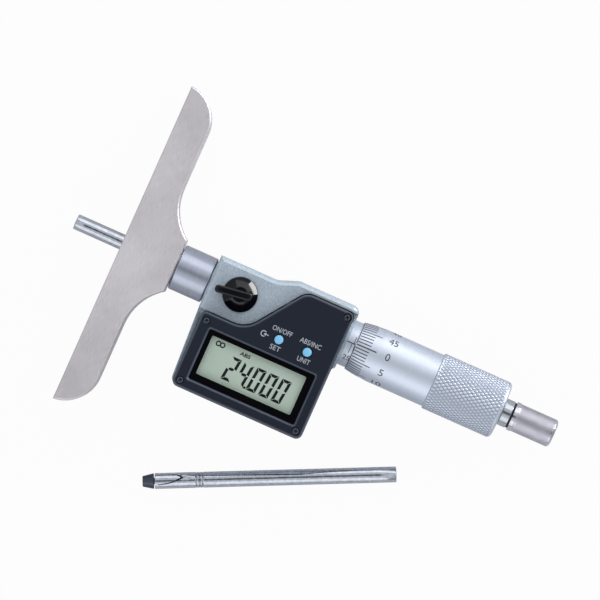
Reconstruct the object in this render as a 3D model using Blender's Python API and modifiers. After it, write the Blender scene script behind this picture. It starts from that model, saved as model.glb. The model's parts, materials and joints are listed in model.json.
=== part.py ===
"""A digital depth gauge: a measuring base, a micrometer head with a display, and a spare rod.

Units are metres. On the gauge's own axes the spindle runs along X, with the base's measuring face
at x = 0 and the ratchet at the far end, Y runs along the base, and Z comes out of the display. The
gauge lies on the flat back of its casting. The world's origin is under the middle of everything,
on the surface that it lies on, so one empty carries the gauge's own axes to their place there.
"""
import math

import bmesh
import bpy
from mathutils import Matrix, Vector

# Clearances
GAP = 0.0003                    # between two pieces that fit or seat on each other
SEAM = 0.00015                  # beside a soft seal or a pressed-in tip
OVER = 0.002                    # how far a cutter passes the face that it opens

# Finish of the facets
ROUND_SIDES = 40                # sides of the large turned pieces
SMALL_SIDES = 24                # sides of the small and hidden turned pieces
ARC_STEP = math.radians(20)     # most that one facet of an outline's arc turns
ARC_DROP = 0.00003              # and most that its middle lies inside the true arc
EDGE_STEPS = 2                  # facets across a rounded edge

# What the gauge reads
TRAVEL = 0.025                  # the head's whole travel
READING = 0.024                 # how far out it stands as modelled

# Measuring base
BASE_LENGTH = 0.1015
BASE_WIDTH = 0.016
BLADE_DEPTH = 0.0101            # from the measuring face to the straight back edge
HUB_DEPTH = 0.0173              # from the measuring face to the back of the hub
HUB_HALF_HEIGHT = 0.0083
END_RADIUS = 0.0108             # rounding of the blade's two ends
SHOULDER_RADIUS = 0.017         # hollow curve from the blade to the hub
BASE_EDGE = 0.0004

# Rods
ROD_RADIUS = 0.002375
ROD_REACH = 0.0154              # how far the fitted rod stands out of the base
SPARE_ROD_LENGTH = 0.0761
ROD_STEP = 0.025                # a rod of the next range is longer by this
TIP_LENGTH = 0.0034             # the dark cone that seats in the spindle
TIP_END_RADIUS = 0.0016
TIP_SPIGOT_RADIUS = 0.0009
TIP_SPIGOT_LENGTH = 0.003
ROD_RING_START = 0.016          # first of the ring marks, from the cone's end
ROD_RING_PITCH = 0.00095
ROD_RING_WIDTH = 0.0004
ROD_RING_DEPTH = 0.00015
ROD_RINGS = 3
ROD_SLOT_START = 0.0052         # the split that makes the rod's seat springy
ROD_SLOT_END = 0.0132
ROD_SLOT_WIDTH = 0.0008
ROD_CHAMFER = 0.0002
SPARE_ROD_X = 0.0342            # the spare rod's cone end, on the gauge's axes
SPARE_ROD_Y = -0.0631
SPARE_ROD_TURN = math.radians(25.6)

# Neck between the base and the casting
NECK_RADIUS = 0.00705
NECK_LENGTH = 0.0106
NECK_CHAMFER = 0.0003
HUB_SPIGOT_RADIUS = 0.0056
FRAME_SPIGOT_RADIUS = 0.0063
FRAME_SPIGOT_LENGTH = 0.0068

# Casting
FRAME_LENGTH = 0.0444
FRAME_BACK = 0.0098             # from the axis to the flat back that the gauge lies on
FRAME_FACE = 0.0083             # from the axis to the face round the lock
FRAME_DECK = 0.004              # from the axis to the face under the housing
FRAME_ROUND = 0.0014
BARREL_HALF_HEIGHT = 0.0085
BULGE_TOP = 0.0109
BULGE_RISE_START = 0.0183       # from the casting's left end
BULGE_RISE_END = 0.0244
BULGE_CORNER = 0.0024
RISE_CORNER = 0.004
TRAY_DRAFT = 0.0012             # how far the left side leans in on its way down
TRAY_INSET = 0.0003             # the tray's foot lies this far inside the housing's
TRAY_CORNER = 0.002
TRAY_FLOOR = 0.003
TRAY_WALL = 0.0016
BOSS_SIZE = 0.0025              # from a screw's centre to the side of its corner block
PILLAR_RADIUS = 0.0014

# Housing of the electronics
HOUSING_LEFT_INSET = 0.00167    # from the casting's left end
HOUSING_RIGHT_INSET = 0.0009
HOUSING_BOTTOM = 0.0324
HOUSING_TOP = 0.0086
HOUSING_SHOULDER = 0.0085       # depth below the axis of its top left edge
HOUSING_FRONT = 0.0128
HOUSING_WALL = 0.0015
HOUSING_FRONT_WALL = 0.002
HOUSING_EDGE = 0.0009
HOUSING_CORNER = 0.002
HOUSING_LEFT_CORNER = 0.0015
SWEEP_FOOT = 0.0154             # from the casting's left end to where the sloping edge would start
SWEEP_HEAD = 0.0277
SWEEP_FOOT_RADIUS = 0.008
SWEEP_HEAD_RADIUS = 0.0045
SEAL_THICKNESS = 0.0006
SEAL_WIDTH = 0.0011

# Display
WINDOW_HEIGHT = 0.0123
WINDOW_LEFT = 0.0073            # from the casting's left end
WINDOW_RIGHT = 0.0066           # from the casting's right end
WINDOW_TOP = 0.0143             # below the axis
WINDOW_CORNER = 0.0004
PANE_SINK = 0.0002
RECESS_SIDE = 0.0022            # width of the dark frame at the window's left and top
RECESS_FAR_SIDE = 0.0029        # and at its right and bottom
RECESS_DEPTH = 0.0009
RECESS_CORNER = 0.0012
PANEL_BORDER = 0.0011
PANEL_THICKNESS = 0.0013
CONNECTOR_WIDTH = 0.0014
CONNECTOR_HEIGHT = 0.0012
BOARD_THICKNESS = 0.001

# Buttons
BUTTON_RADIUS = 0.00135
BUTTON_Y = -0.0075
BUTTON_SHIFT = 0.000875         # of the pair's middle from midway between the slope's foot and the side
BUTTON_PITCH = 0.00915
BUTTON_PROUD = 0.0002
BUTTON_FLANGE_RADIUS = 0.002
BUTTON_FLANGE = 0.0005
BUTTON_TRAVEL = 0.0005
SWITCH_BOARD_MARGIN = 0.0031

# Housing screws
SCREW_HEAD_RADIUS = 0.00115
SCREW_HEAD_HEIGHT = 0.0007
SCREW_SINK = 0.0003
SCREW_SHANK_RADIUS = 0.0006
SCREW_POST_RADIUS = 0.00205
SCREW_BITE = 0.006              # how deep a screw goes into the casting
SCREW_SIDE_INSET = 0.0022       # from the housing's left and right sides
SCREW_TOP_INSET = 0.0025        # from the shoulder, down
SCREW_FOOT_INSET = 0.0022
UPPER_SCREW_INSET = 0.0019      # of the screw at the top right, from that corner's sides

# Battery and its cap, in the casting's back
BATTERY_X = 0.0225              # from the casting's left end
BATTERY_Y = -0.0204
BATTERY_RADIUS = 0.0058
BATTERY_HEIGHT = 0.0054
BATTERY_CHAMFER = 0.0005
HOLDER_WALL = 0.0012
CONTACT_THICKNESS = 0.0004
CONTACT_TAB_WIDTH = 0.002
CAP_RADIUS = 0.0075
CAP_THICKNESS = 0.001
CAP_SINK = 0.0001
CAP_SPIGOT_RADIUS = 0.0064
CAP_LEDGE = 0.001
CAP_SLOT_LENGTH = 0.0105
CAP_SLOT_WIDTH = 0.0014
CAP_SLOT_DEPTH = 0.0006
O_RING_SECTION = 0.0003
O_RING_SIDES = 6

# Lock
LOCK_X = 0.0098                 # from the casting's left end
LOCK_KNOB_RADIUS = 0.0053
LOCK_KNOB_RIM = 0.0012
LOCK_KNOB_CROWN_RADIUS = 0.0026
LOCK_KNOB_HEIGHT = 0.003
LOCK_FIN_LENGTH = 0.0077        # from the lock's axis to the lever's end
LOCK_FIN_TAIL = 0.0037
LOCK_FIN_HALF_WIDTH = 0.0012
LOCK_FIN_CORNER = 0.00108
LOCK_FIN_TOP = 0.0051           # above the casting's face
LOCK_FIN_FOOT = 0.0014
LOCK_FIN_EDGE = 0.0005
LOCK_TURN = math.radians(188.5)
LOCK_SCREW_RADIUS = 0.0022
LOCK_SOCKET_DEPTH = 0.0014
LOCK_SHOE_HEIGHT = 0.0013

# Spindle, and the key that drives the encoder
SPINDLE_RADIUS = 0.004
SPINDLE_NOSE_CHAMFER = 0.0005
NOSE_COVER = 0.0011             # the spindle still covers the lock shoe by this when drawn back
KEYWAY_DEPTH = 0.0008
KEY_RADIUS = 0.0005
KEY_INSET = 0.0034

# Encoder
CHAMBER_DEPTH = 0.0189          # from the casting's right end
CHAMBER_WALL = 0.0015
CHAMBER_END_WALL = 0.002
DISC_RADIUS = 0.0065
DISC_THICKNESS = 0.0012
STATOR_BORE = 0.005
AIR_GAP = 0.0005
ROTOR_HUB_RADIUS = 0.0056
ROTOR_HUB_LENGTH = 0.0068
RETAINER_THICKNESS = 0.0017

# Sleeves
SLEEVE_RADIUS = 0.0071
SLEEVE_WALL = 0.0006
SCALE_MARGIN = 0.0017           # from the casting to the last mark of the scale
SLEEVE_TAIL = 0.0044            # from the scale's zero to the sleeve's end
NUT_LENGTH = 0.008
NUT_FLANK = 0.0014              # the thread sleeve goes on past the nut by this
SPLIT_WIDTH = 0.0008
SPLIT_LENGTH = 0.011

# Thimble
THIMBLE_LENGTH = 0.0479
THIMBLE_EDGE_WALL = 0.00015
THIMBLE_RADIUS = 0.00832
THIMBLE_TAPER = ((0.0017, 0.0078), (0.0032, 0.008), (0.0074, 0.00832))
KNURL_LENGTH = 0.0223
KNURL_RADIUS = 0.0089
KNURL_ROUND = 0.0013
KNURL_CHAMFER = 0.0003
THIMBLE_END_WALL = 0.0068
THIMBLE_FACE_WALL = 0.0022

# Ratchet
STUB_RADIUS = 0.0042
STUB_LENGTH = 0.0026
STUB_SHANK_RADIUS = 0.0022
STUB_SHANK_LENGTH = 0.0095
STUB_POST_RADIUS = 0.002
STUB_POST_LENGTH = 0.0098
KNOB_GAP = 0.0006
KNOB_LENGTH = 0.0136
KNOB_COLLAR_RADIUS = 0.0045
KNOB_COLLAR_LENGTH = 0.0008
KNOB_RADIUS = 0.00433
KNOB_BORE = 0.0036
KNOB_END_WALL = 0.0038
KNOB_CHAMFER = 0.001
PAWL_THICKNESS = 0.0014
SPRING_WIRE_RADIUS = 0.00025
SPRING_TURNS = 4
END_SCREW_RADIUS = 0.0022
END_SCREW_HEAD = 0.001
END_SCREW_SINK = 0.0002
END_SCREW_SHANK = 0.0009
END_SCREW_LENGTH = 0.008

# Places along the spindle's axis that follow from these sizes
FORWARD = TRAVEL - READING
NECK_START = HUB_DEPTH + GAP
NECK_END = NECK_START + NECK_LENGTH
FRAME_LEFT = NECK_END + GAP
FRAME_RIGHT = FRAME_LEFT + FRAME_LENGTH
LOCK_CENTRE = FRAME_LEFT + LOCK_X
LOCK_SHOE_RADIUS = LOCK_SCREW_RADIUS
SPINDLE_NOSE = LOCK_CENTRE - LOCK_SHOE_RADIUS - NOSE_COVER - READING
NOSE_WELL = SPINDLE_NOSE - FORWARD - 6 * GAP
SPINDLE_BORE = SPINDLE_RADIUS + GAP
ROD_BORE = ROD_RADIUS + GAP
FITTED_ROD_LENGTH = SPARE_ROD_LENGTH - ROD_STEP
ROD_INNER_END = FITTED_ROD_LENGTH - ROD_REACH
CHAMBER_START = FRAME_RIGHT - CHAMBER_DEPTH
CHAMBER_RADIUS = DISC_RADIUS + GAP
CHAMBER_OUTER = CHAMBER_RADIUS + CHAMBER_WALL
STATOR_START = CHAMBER_START + GAP
ROTOR_START = STATOR_START + DISC_THICKNESS + AIR_GAP
ROTOR_END = ROTOR_START + DISC_THICKNESS + ROTOR_HUB_LENGTH
KEY_X = ROTOR_START + DISC_THICKNESS + KEY_INSET
RETAINER_START = ROTOR_END + GAP
FLANGE_START = RETAINER_START + RETAINER_THICKNESS + GAP
FLANGE_END = FRAME_RIGHT - GAP
SLEEVE_END = FRAME_RIGHT + SCALE_MARGIN + TRAVEL + SLEEVE_TAIL
NUT_START = SLEEVE_END + GAP
THREAD_END = NUT_START + NUT_LENGTH + NUT_FLANK
THREAD_RADIUS = SLEEVE_RADIUS - SLEEVE_WALL - GAP
THIMBLE_EDGE = FRAME_RIGHT + SCALE_MARGIN + FORWARD
THIMBLE_END = THIMBLE_EDGE + THIMBLE_LENGTH
THIMBLE_BORE = SLEEVE_RADIUS + GAP
SPINDLE_END = THIMBLE_END - THIMBLE_FACE_WALL - GAP
STUB_START = THIMBLE_END + GAP
STUB_END = STUB_START + STUB_LENGTH
POST_END = STUB_END + STUB_POST_LENGTH
KNOB_START = STUB_END + KNOB_GAP
KNOB_END = KNOB_START + KNOB_LENGTH
KNOB_WELL_END = KNOB_END - KNOB_END_WALL

# Places across the housing
HOUSING_LEFT = FRAME_LEFT + HOUSING_LEFT_INSET
HOUSING_RIGHT = FRAME_RIGHT - HOUSING_RIGHT_INSET
HOUSING_LOW = FRAME_DECK + SEAM + SEAL_THICKNESS + SEAM
HOUSING_INSIDE = HOUSING_FRONT - HOUSING_FRONT_WALL
WINDOW_X = FRAME_LEFT + WINDOW_LEFT
WINDOW_LENGTH = FRAME_RIGHT - WINDOW_RIGHT - WINDOW_X
PANEL_TOP = HOUSING_INSIDE - GAP
CONNECTOR_TOP = PANEL_TOP - PANEL_THICKNESS - GAP
BOARD_TOP = CONNECTOR_TOP - CONNECTOR_HEIGHT - GAP
BOARD_BOTTOM = BOARD_TOP - BOARD_THICKNESS
SCREW_LEFT = HOUSING_LEFT + SCREW_SIDE_INSET
SCREW_RIGHT = HOUSING_RIGHT - SCREW_SIDE_INSET
SCREW_UPPER = -(HOUSING_SHOULDER + SCREW_TOP_INSET)
SCREW_LOWER = -(HOUSING_BOTTOM - SCREW_FOOT_INSET)
UPPER_SCREW = (HOUSING_RIGHT - UPPER_SCREW_INSET, HOUSING_TOP - UPPER_SCREW_INSET)
SCREW_SEAT = HOUSING_FRONT - SCREW_SINK - SCREW_HEAD_HEIGHT
BOARD_LEFT = SCREW_LEFT + SCREW_POST_RADIUS + GAP
BOARD_RIGHT = SCREW_RIGHT - SCREW_POST_RADIUS - GAP
BOARD_LOW = -HOUSING_BOTTOM + HOUSING_WALL + GAP
BOARD_HIGH = -HOUSING_SHOULDER - HOUSING_WALL - GAP
TRAY_BACK = -FRAME_BACK
TRAY_INSIDE = TRAY_BACK + TRAY_FLOOR
BATTERY_CENTRE = (FRAME_LEFT + BATTERY_X, BATTERY_Y)
BUTTON_MIDDLE = (FRAME_LEFT + SWEEP_FOOT + HOUSING_RIGHT) / 2 + BUTTON_SHIFT
BUTTON_PLACES = [(BUTTON_MIDDLE + side * BUTTON_PITCH / 2, BUTTON_Y) for side in (-1, 1)]

# The middle of everything, so that the world's origin lies under it
SPARE_ROD_LOW = SPARE_ROD_Y - TIP_END_RADIUS * math.cos(SPARE_ROD_TURN)
MIDDLE_X = (KNOB_END - ROD_REACH) / 2
MIDDLE_Y = (BASE_LENGTH / 2 + SPARE_ROD_LOW) / 2


def collection(name):
    """A new collection under the scene's own."""
    group = bpy.data.collections.new(name)
    bpy.context.scene.collection.children.link(group)
    return group


def empty(name, place, parent=None, turn=0.0):
    """An empty that stands on an axis, and turned about Z."""
    point = bpy.data.objects.new(name, None)
    point.location = place
    point.rotation_euler = (0, 0, turn)
    point.parent = parent
    PARTS.objects.link(point)
    return point


def material(name, colour, roughness, metallic=0.0):
    """A Principled material of one colour."""
    made = bpy.data.materials.new(name)
    made.use_nodes = True
    shader = made.node_tree.nodes["Principled BSDF"]
    shader.inputs["Base Color"].default_value = (*colour, 1)
    shader.inputs["Roughness"].default_value = roughness
    shader.inputs["Metallic"].default_value = metallic
    return made


def add(name, mesh, parent, finish=None):
    """An object in the parts' collection with its own material or, with no finish, a cutter."""
    piece = bpy.data.objects.new(name, mesh)
    piece.parent = parent
    if finish:
        mesh.materials.append(material(name, *finish))
        PARTS.objects.link(piece)
    else:
        CUTTERS.objects.link(piece)
        piece.hide_render = True
        piece.display_type = "WIRE"
    return piece


def meshed(name, shape):
    """A mesh of a bmesh, which is freed."""
    mesh = bpy.data.meshes.new(name)
    shape.to_mesh(mesh)
    shape.free()
    return mesh


def modify(piece, tool, operation, solver="EXACT"):
    """The Boolean of a piece with another object."""
    step = piece.modifiers.new(tool.name, "BOOLEAN")
    step.object = tool
    step.operation = operation
    step.solver = solver


def cut(piece, *tools, solver="EXACT"):
    """Takes the tools out of the piece."""
    for tool in tools:
        modify(piece, tool, "DIFFERENCE", solver)


def join(piece, *tools):
    """Makes the tools part of the piece."""
    for tool in tools:
        modify(piece, tool, "UNION")


def arc(centre, radius, start, end):
    """Points of an arc, with both its ends. Angles are in radians."""
    step = min(ARC_STEP, 2 * math.acos(1 - ARC_DROP / max(radius, ARC_DROP)))
    steps = max(2, math.ceil(abs(end - start) / step))
    angles = [start + (end - start) * i / steps for i in range(steps + 1)]
    return [(centre[0] + radius * math.cos(a), centre[1] + radius * math.sin(a)) for a in angles]


def rounded(corners):
    """The outline through these corners, each (x, y, radius), with its corners rounded."""
    points = []
    for i, (x, y, radius) in enumerate(corners):
        corner = Vector((x, y))
        before = (Vector(corners[i - 1][:2]) - corner).normalized()
        after = (Vector(corners[(i + 1) % len(corners)][:2]) - corner).normalized()
        if radius <= 0:
            points.append((x, y))
            continue
        half = before.angle(after) / 2
        centre = corner + (before + after).normalized() * radius / math.sin(half)
        first = corner + before * radius / math.tan(half) - centre
        last = corner + after * radius / math.tan(half) - centre
        start = math.atan2(first.y, first.x)
        turn = (math.atan2(last.y, last.x) - start + math.pi) % (2 * math.pi) - math.pi
        points += arc(centre, radius, start, start + turn)
    return points


def offset(corners, distance):
    """The corners of an anticlockwise outline, moved outwards by a distance, or inwards."""
    moved = []
    for i, (x, y, radius) in enumerate(corners):
        corner = Vector((x, y))
        come = (corner - Vector(corners[i - 1][:2])).normalized()
        leave = (Vector(corners[(i + 1) % len(corners)][:2]) - corner).normalized()
        out = Vector((come.y, -come.x)) + Vector((leave.y, -leave.x))
        place = corner + out * distance / (1 + come.dot(leave))
        bulges = come.x * leave.y - come.y * leave.x > 0
        moved.append((*place, max(0, radius + distance if bulges else radius - distance)))
    return moved


def rectangle(left, bottom, right, top, radius=0.0):
    """The corners of a rectangle, anticlockwise."""
    return [(left, bottom, radius), (right, bottom, radius), (right, top, radius), (left, top, radius)]


def plate(name, outline, low, high, parent, finish=None, front=0.0, back=0.0, steps=EDGE_STEPS):
    """A flat piece with an outline, from low to high, with its front and back edges rounded."""
    shape = bmesh.new()
    face = shape.faces.new([shape.verts.new((x, y, low)) for x, y in outline])
    raised = bmesh.ops.extrude_face_region(shape, geom=[face])["geom"]
    bmesh.ops.translate(shape, vec=(0, 0, high - low),
                        verts=[v for v in raised if isinstance(v, bmesh.types.BMVert)])
    bmesh.ops.recalc_face_normals(shape, faces=shape.faces)
    for height, width in ((high, front), (low, back)):
        if width:
            rim = [e for e in shape.edges if all(abs(v.co.z - height) < SEAM / 10 for v in e.verts)]
            bmesh.ops.bevel(shape, geom=rim, offset=width, segments=steps, profile=0.5, affect="EDGES")
    return add(name, meshed(name, shape), parent, finish)


def block(name, low, high, parent, finish=None):
    """A box between two corners."""
    shape = bmesh.new()
    size = Vector(high) - Vector(low)
    middle = (Vector(high) + Vector(low)) / 2
    bmesh.ops.create_cube(shape, size=1, matrix=Matrix.Translation(middle) @ Matrix.Diagonal((*size, 1)))
    return add(name, meshed(name, shape), parent, finish)


def turned(name, outline, parent, finish=None, sides=SMALL_SIDES, at=(0, 0), ring=False):
    """A turned piece. Its outline is (place along the axis, radius), down the outer side.

    It turns about its parent's X axis or, where at gives a place in the plane of the display, about
    an upright axis there. A ring's outline closes on itself, and any other ends on the axis.
    """
    mesh = bpy.data.meshes.new(name)
    count = len(outline)
    pairs = [(i, (i + 1) % count) for i in range(count if ring else count - 1)]
    mesh.from_pydata([(along, radius, 0) for along, radius in outline], pairs, [])
    piece = add(name, mesh, parent, finish)
    if at != (0, 0):
        piece.location = (*at, 0)
        piece.rotation_euler = (0, -math.pi / 2, 0)
    screw = piece.modifiers.new("turn", "SCREW")
    screw.axis = "X"
    screw.steps = sides
    screw.render_steps = sides
    screw.use_merge_vertices = True
    screw.merge_threshold = SEAM / 100
    screw.use_smooth_shade = False
    return piece


def bar(outer):
    """The outline of a solid turned piece from its outer points, from the low end to the high."""
    return [(outer[-1][0], 0), *reversed(outer), (outer[0][0], 0)]


def tube(outer, bore):
    """The outline of a hollow turned piece. Both lists run from the low end to the high."""
    return [*reversed(outer), *bore]


def drill(name, low, high, radius, parent, sides=SMALL_SIDES, at=(0, 0)):
    """A cutter for a round hole, along the gauge's axis or upright at a place."""
    return turned(name, bar([(low, radius), (high, radius)]), parent, sides=sides, at=at)


STEEL = ((0.72, 0.7, 0.7), 0.32, 1.0)
SATIN_CHROME = ((0.74, 0.76, 0.82), 0.3, 1.0)
BRIGHT_STEEL = ((0.6, 0.62, 0.66), 0.2, 1.0)
DARK_STEEL = ((0.07, 0.085, 0.11), 0.35, 0.6)
BRASS = ((0.72, 0.55, 0.28), 0.35, 1.0)
CAST = ((0.56, 0.61, 0.64), 0.45, 0.6)
BLACK_SHELL = ((0.03, 0.035, 0.05), 0.5)
BLACK_GLOSS = ((0.01, 0.01, 0.014), 0.15)
RUBBER = ((0.02, 0.02, 0.022), 0.8)
CLEAR = ((0.75, 0.8, 0.78), 0.05)
DISPLAY_GREY = ((0.5, 0.56, 0.5), 0.3)
BLUE = ((0.25, 0.65, 0.9), 0.4)
BOARD_GREEN = ((0.03, 0.16, 0.07), 0.5)
CELL_STEEL = ((0.7, 0.71, 0.72), 0.25, 1.0)
SCREW_BLACK = ((0.03, 0.035, 0.045), 0.35, 0.7)


def housing_corners():
    """The housing's outline, anticlockwise, with the sloping edge that sweeps up past the lock."""
    return [
        (HOUSING_LEFT, -HOUSING_BOTTOM, HOUSING_CORNER),
        (HOUSING_RIGHT, -HOUSING_BOTTOM, HOUSING_CORNER),
        (HOUSING_RIGHT, HOUSING_TOP, HOUSING_CORNER),
        (FRAME_LEFT + SWEEP_HEAD, HOUSING_TOP, SWEEP_HEAD_RADIUS),
        (FRAME_LEFT + SWEEP_FOOT, -HOUSING_SHOULDER, SWEEP_FOOT_RADIUS),
        (HOUSING_LEFT, -HOUSING_SHOULDER, HOUSING_LEFT_CORNER),
    ]


def screw_places():
    """Each housing screw as (x, y, height of its point)."""
    bite = FRAME_DECK - SCREW_BITE
    near_side = UPPER_SCREW[1] - SCREW_SHANK_RADIUS - GAP
    over_chamber = math.sqrt(CHAMBER_RADIUS ** 2 - near_side ** 2) + 2 * GAP
    return [
        (SCREW_LEFT, SCREW_UPPER, bite),
        (SCREW_LEFT, SCREW_LOWER, bite),
        (SCREW_RIGHT, SCREW_LOWER, bite),
        (*UPPER_SCREW, over_chamber),
    ]


def make_base():
    """The measuring base: a long blade with a flat face, and a hub that the neck is pressed into."""
    lean = END_RADIUS - BLADE_DEPTH
    end_height = BASE_LENGTH / 2 - math.sqrt(END_RADIUS ** 2 - lean ** 2)
    run = SHOULDER_RADIUS - (HUB_DEPTH - BLADE_DEPTH)
    drop = math.sqrt(SHOULDER_RADIUS ** 2 - run ** 2)
    shoulder = arc((BLADE_DEPTH + SHOULDER_RADIUS, HUB_HALF_HEIGHT + drop), SHOULDER_RADIUS,
                   math.pi + math.atan2(drop, run), math.pi)
    end = arc((-lean, end_height), END_RADIUS, 0, math.acos(lean / END_RADIUS))
    upper = shoulder + end
    outline = upper + [(x, -y) for x, y in reversed(upper)]
    base = plate("measuring_base", outline, -BASE_WIDTH / 2, BASE_WIDTH / 2, GAUGE, STEEL,
                 front=BASE_EDGE, back=BASE_EDGE, steps=1)
    cut(base,
        drill("base_rod_bore", -OVER, NOSE_WELL + OVER, ROD_BORE, GAUGE),
        drill("base_hub_bore", NOSE_WELL, HUB_DEPTH + OVER, HUB_SPIGOT_RADIUS + GAP, GAUGE, ROUND_SIDES))


def make_neck():
    """The chromed neck, pressed into the hub at one end and into the casting at the other."""
    outer = [
        (NOSE_WELL + GAP, HUB_SPIGOT_RADIUS), (NECK_START, HUB_SPIGOT_RADIUS),
        (NECK_START, NECK_RADIUS - NECK_CHAMFER), (NECK_START + NECK_CHAMFER, NECK_RADIUS),
        (NECK_END - NECK_CHAMFER, NECK_RADIUS), (NECK_END, NECK_RADIUS - NECK_CHAMFER),
        (NECK_END, FRAME_SPIGOT_RADIUS), (NECK_END + FRAME_SPIGOT_LENGTH, FRAME_SPIGOT_RADIUS),
    ]
    bore = [(outer[0][0], SPINDLE_BORE), (outer[-1][0], SPINDLE_BORE)]
    turned("neck_sleeve", tube(outer, bore), GAUGE, SATIN_CHROME, ROUND_SIDES, ring=True)


def make_frame():
    """The casting: a barrel round the spindle, a round chamber for the encoder, and a tray."""
    tray_right = HOUSING_RIGHT - TRAY_INSET
    tray_bottom = -(HOUSING_BOTTOM - TRAY_INSET)
    outline = rounded([
        (FRAME_LEFT + TRAY_DRAFT, tray_bottom, TRAY_CORNER),
        (tray_right, tray_bottom, TRAY_CORNER),
        (tray_right, -CHAMBER_OUTER - FRAME_ROUND, 0),
        (FRAME_RIGHT, -CHAMBER_OUTER, 0),
        (FRAME_RIGHT, BULGE_TOP, BULGE_CORNER),
        (FRAME_LEFT + BULGE_RISE_END, BULGE_TOP, RISE_CORNER),
        (FRAME_LEFT + BULGE_RISE_START, BARREL_HALF_HEIGHT, RISE_CORNER),
        (FRAME_LEFT, BARREL_HALF_HEIGHT, 0),
        (FRAME_LEFT, -HOUSING_SHOULDER, 0),
    ])
    frame = plate("frame_casting", outline, TRAY_BACK, FRAME_FACE, GAUGE, CAST,
                  front=FRAME_ROUND, back=FRAME_ROUND / 2)

    seat = offset(housing_corners(), GAP)
    left, right, bottom = FRAME_LEFT - OVER, FRAME_RIGHT + OVER, -HOUSING_BOTTOM - OVER
    seat[0] = (left, bottom, 0)
    seat[1] = (right, bottom, 0)
    seat[2] = (right, seat[2][1], 0)
    seat[5] = (left, seat[5][1], 0)
    cut(frame, plate("frame_deck_cut", rounded(seat), FRAME_DECK, FRAME_FACE + OVER, GAUGE))

    join(frame, drill("encoder_barrel", CHAMBER_START - CHAMBER_END_WALL, FRAME_RIGHT, CHAMBER_OUTER,
                      GAUGE, ROUND_SIDES))

    roof = -CHAMBER_OUTER - CHAMBER_WALL
    floor = tray_bottom + TRAY_WALL
    walls = FRAME_LEFT + TRAY_DRAFT + TRAY_WALL
    cut(frame,
        block("tray_long_cut", (walls, SCREW_LOWER + BOSS_SIZE, TRAY_INSIDE),
              (tray_right - TRAY_WALL, SCREW_UPPER - BOSS_SIZE, FRAME_DECK + OVER), GAUGE),
        block("tray_tall_cut", (SCREW_LEFT + BOSS_SIZE, floor, TRAY_INSIDE - GAP / 10),
              (SCREW_RIGHT - BOSS_SIZE, roof, FRAME_DECK + OVER), GAUGE))
    for i, (x, y) in enumerate(pillar_places()):
        join(frame, drill(f"pillar_{i + 1}", TRAY_INSIDE - OVER / 2, BOARD_BOTTOM - GAP, PILLAR_RADIUS,
                          GAUGE, at=(x, y)))

    ledge = TRAY_INSIDE - CAP_LEDGE
    mouth = CAP_SPIGOT_RADIUS + GAP
    cut(frame,
        drill("neck_bore", FRAME_LEFT - OVER, NECK_END + FRAME_SPIGOT_LENGTH + GAP,
              FRAME_SPIGOT_RADIUS + GAP, GAUGE, ROUND_SIDES),
        drill("frame_spindle_bore", FRAME_LEFT, FRAME_RIGHT + OVER, SPINDLE_BORE, GAUGE),
        drill("encoder_chamber", CHAMBER_START, FRAME_RIGHT + OVER, CHAMBER_RADIUS, GAUGE, ROUND_SIDES),
        drill("lock_bore", 0, FRAME_FACE + OVER, LOCK_SCREW_RADIUS + GAP, GAUGE, at=(LOCK_CENTRE, 0)),
        block("signal_slot", (STATOR_START, roof - OVER, -DISC_THICKNESS),
              (STATOR_START + DISC_THICKNESS, -DISC_RADIUS / 2, DISC_THICKNESS), GAUGE),
        turned("battery_well", bar([(TRAY_BACK - OVER, CAP_RADIUS + GAP), (ledge, CAP_RADIUS + GAP),
                                    (ledge, mouth), (TRAY_INSIDE + OVER, mouth)]), GAUGE,
               sides=ROUND_SIDES, at=BATTERY_CENTRE))
    for i, (x, y, point) in enumerate(screw_places()):
        cut(frame, drill(f"frame_screw_bore_{i + 1}", point - GAP, HOUSING_FRONT,
                         SCREW_SHANK_RADIUS + GAP, GAUGE, at=(x, y)))


def pillar_places():
    """Where the four pillars of the main board stand in the tray."""
    inset = PILLAR_RADIUS + GAP
    columns = (BOARD_LEFT + inset, BOARD_RIGHT - inset)
    rows = (BOARD_LOW + inset, BOARD_HIGH - inset)
    return [(x, y) for x in columns for y in rows]


def make_seal():
    """The rubber seal under the housing's rim, open where the barrel passes."""
    seal = plate("housing_seal", rounded(offset(housing_corners(), -SEAM)), FRAME_DECK + SEAM,
                 FRAME_DECK + SEAM + SEAL_THICKNESS, GAUGE, RUBBER)
    inside = rounded(offset(housing_corners(), -SEAM - SEAL_WIDTH))
    cut(seal,
        plate("seal_inside", inside, FRAME_DECK - OVER, HOUSING_INSIDE, GAUGE),
        block("seal_barrel_gap", (FRAME_LEFT, -CHAMBER_OUTER - GAP, 0),
              (FRAME_RIGHT, HOUSING_TOP + OVER, HOUSING_FRONT), GAUGE))


def recess_outline():
    """The dark frame that is sunk round the window."""
    return rounded(rectangle(
        WINDOW_X - RECESS_SIDE, -WINDOW_TOP - WINDOW_HEIGHT - RECESS_FAR_SIDE,
        WINDOW_X + WINDOW_LENGTH + RECESS_FAR_SIDE, -WINDOW_TOP + RECESS_SIDE, RECESS_CORNER))


def window_corners(margin=0.0):
    """The window's corners, grown by a margin."""
    corners = rectangle(WINDOW_X, -WINDOW_TOP - WINDOW_HEIGHT, WINDOW_X + WINDOW_LENGTH, -WINDOW_TOP,
                        WINDOW_CORNER)
    return offset(corners, margin)


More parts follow.
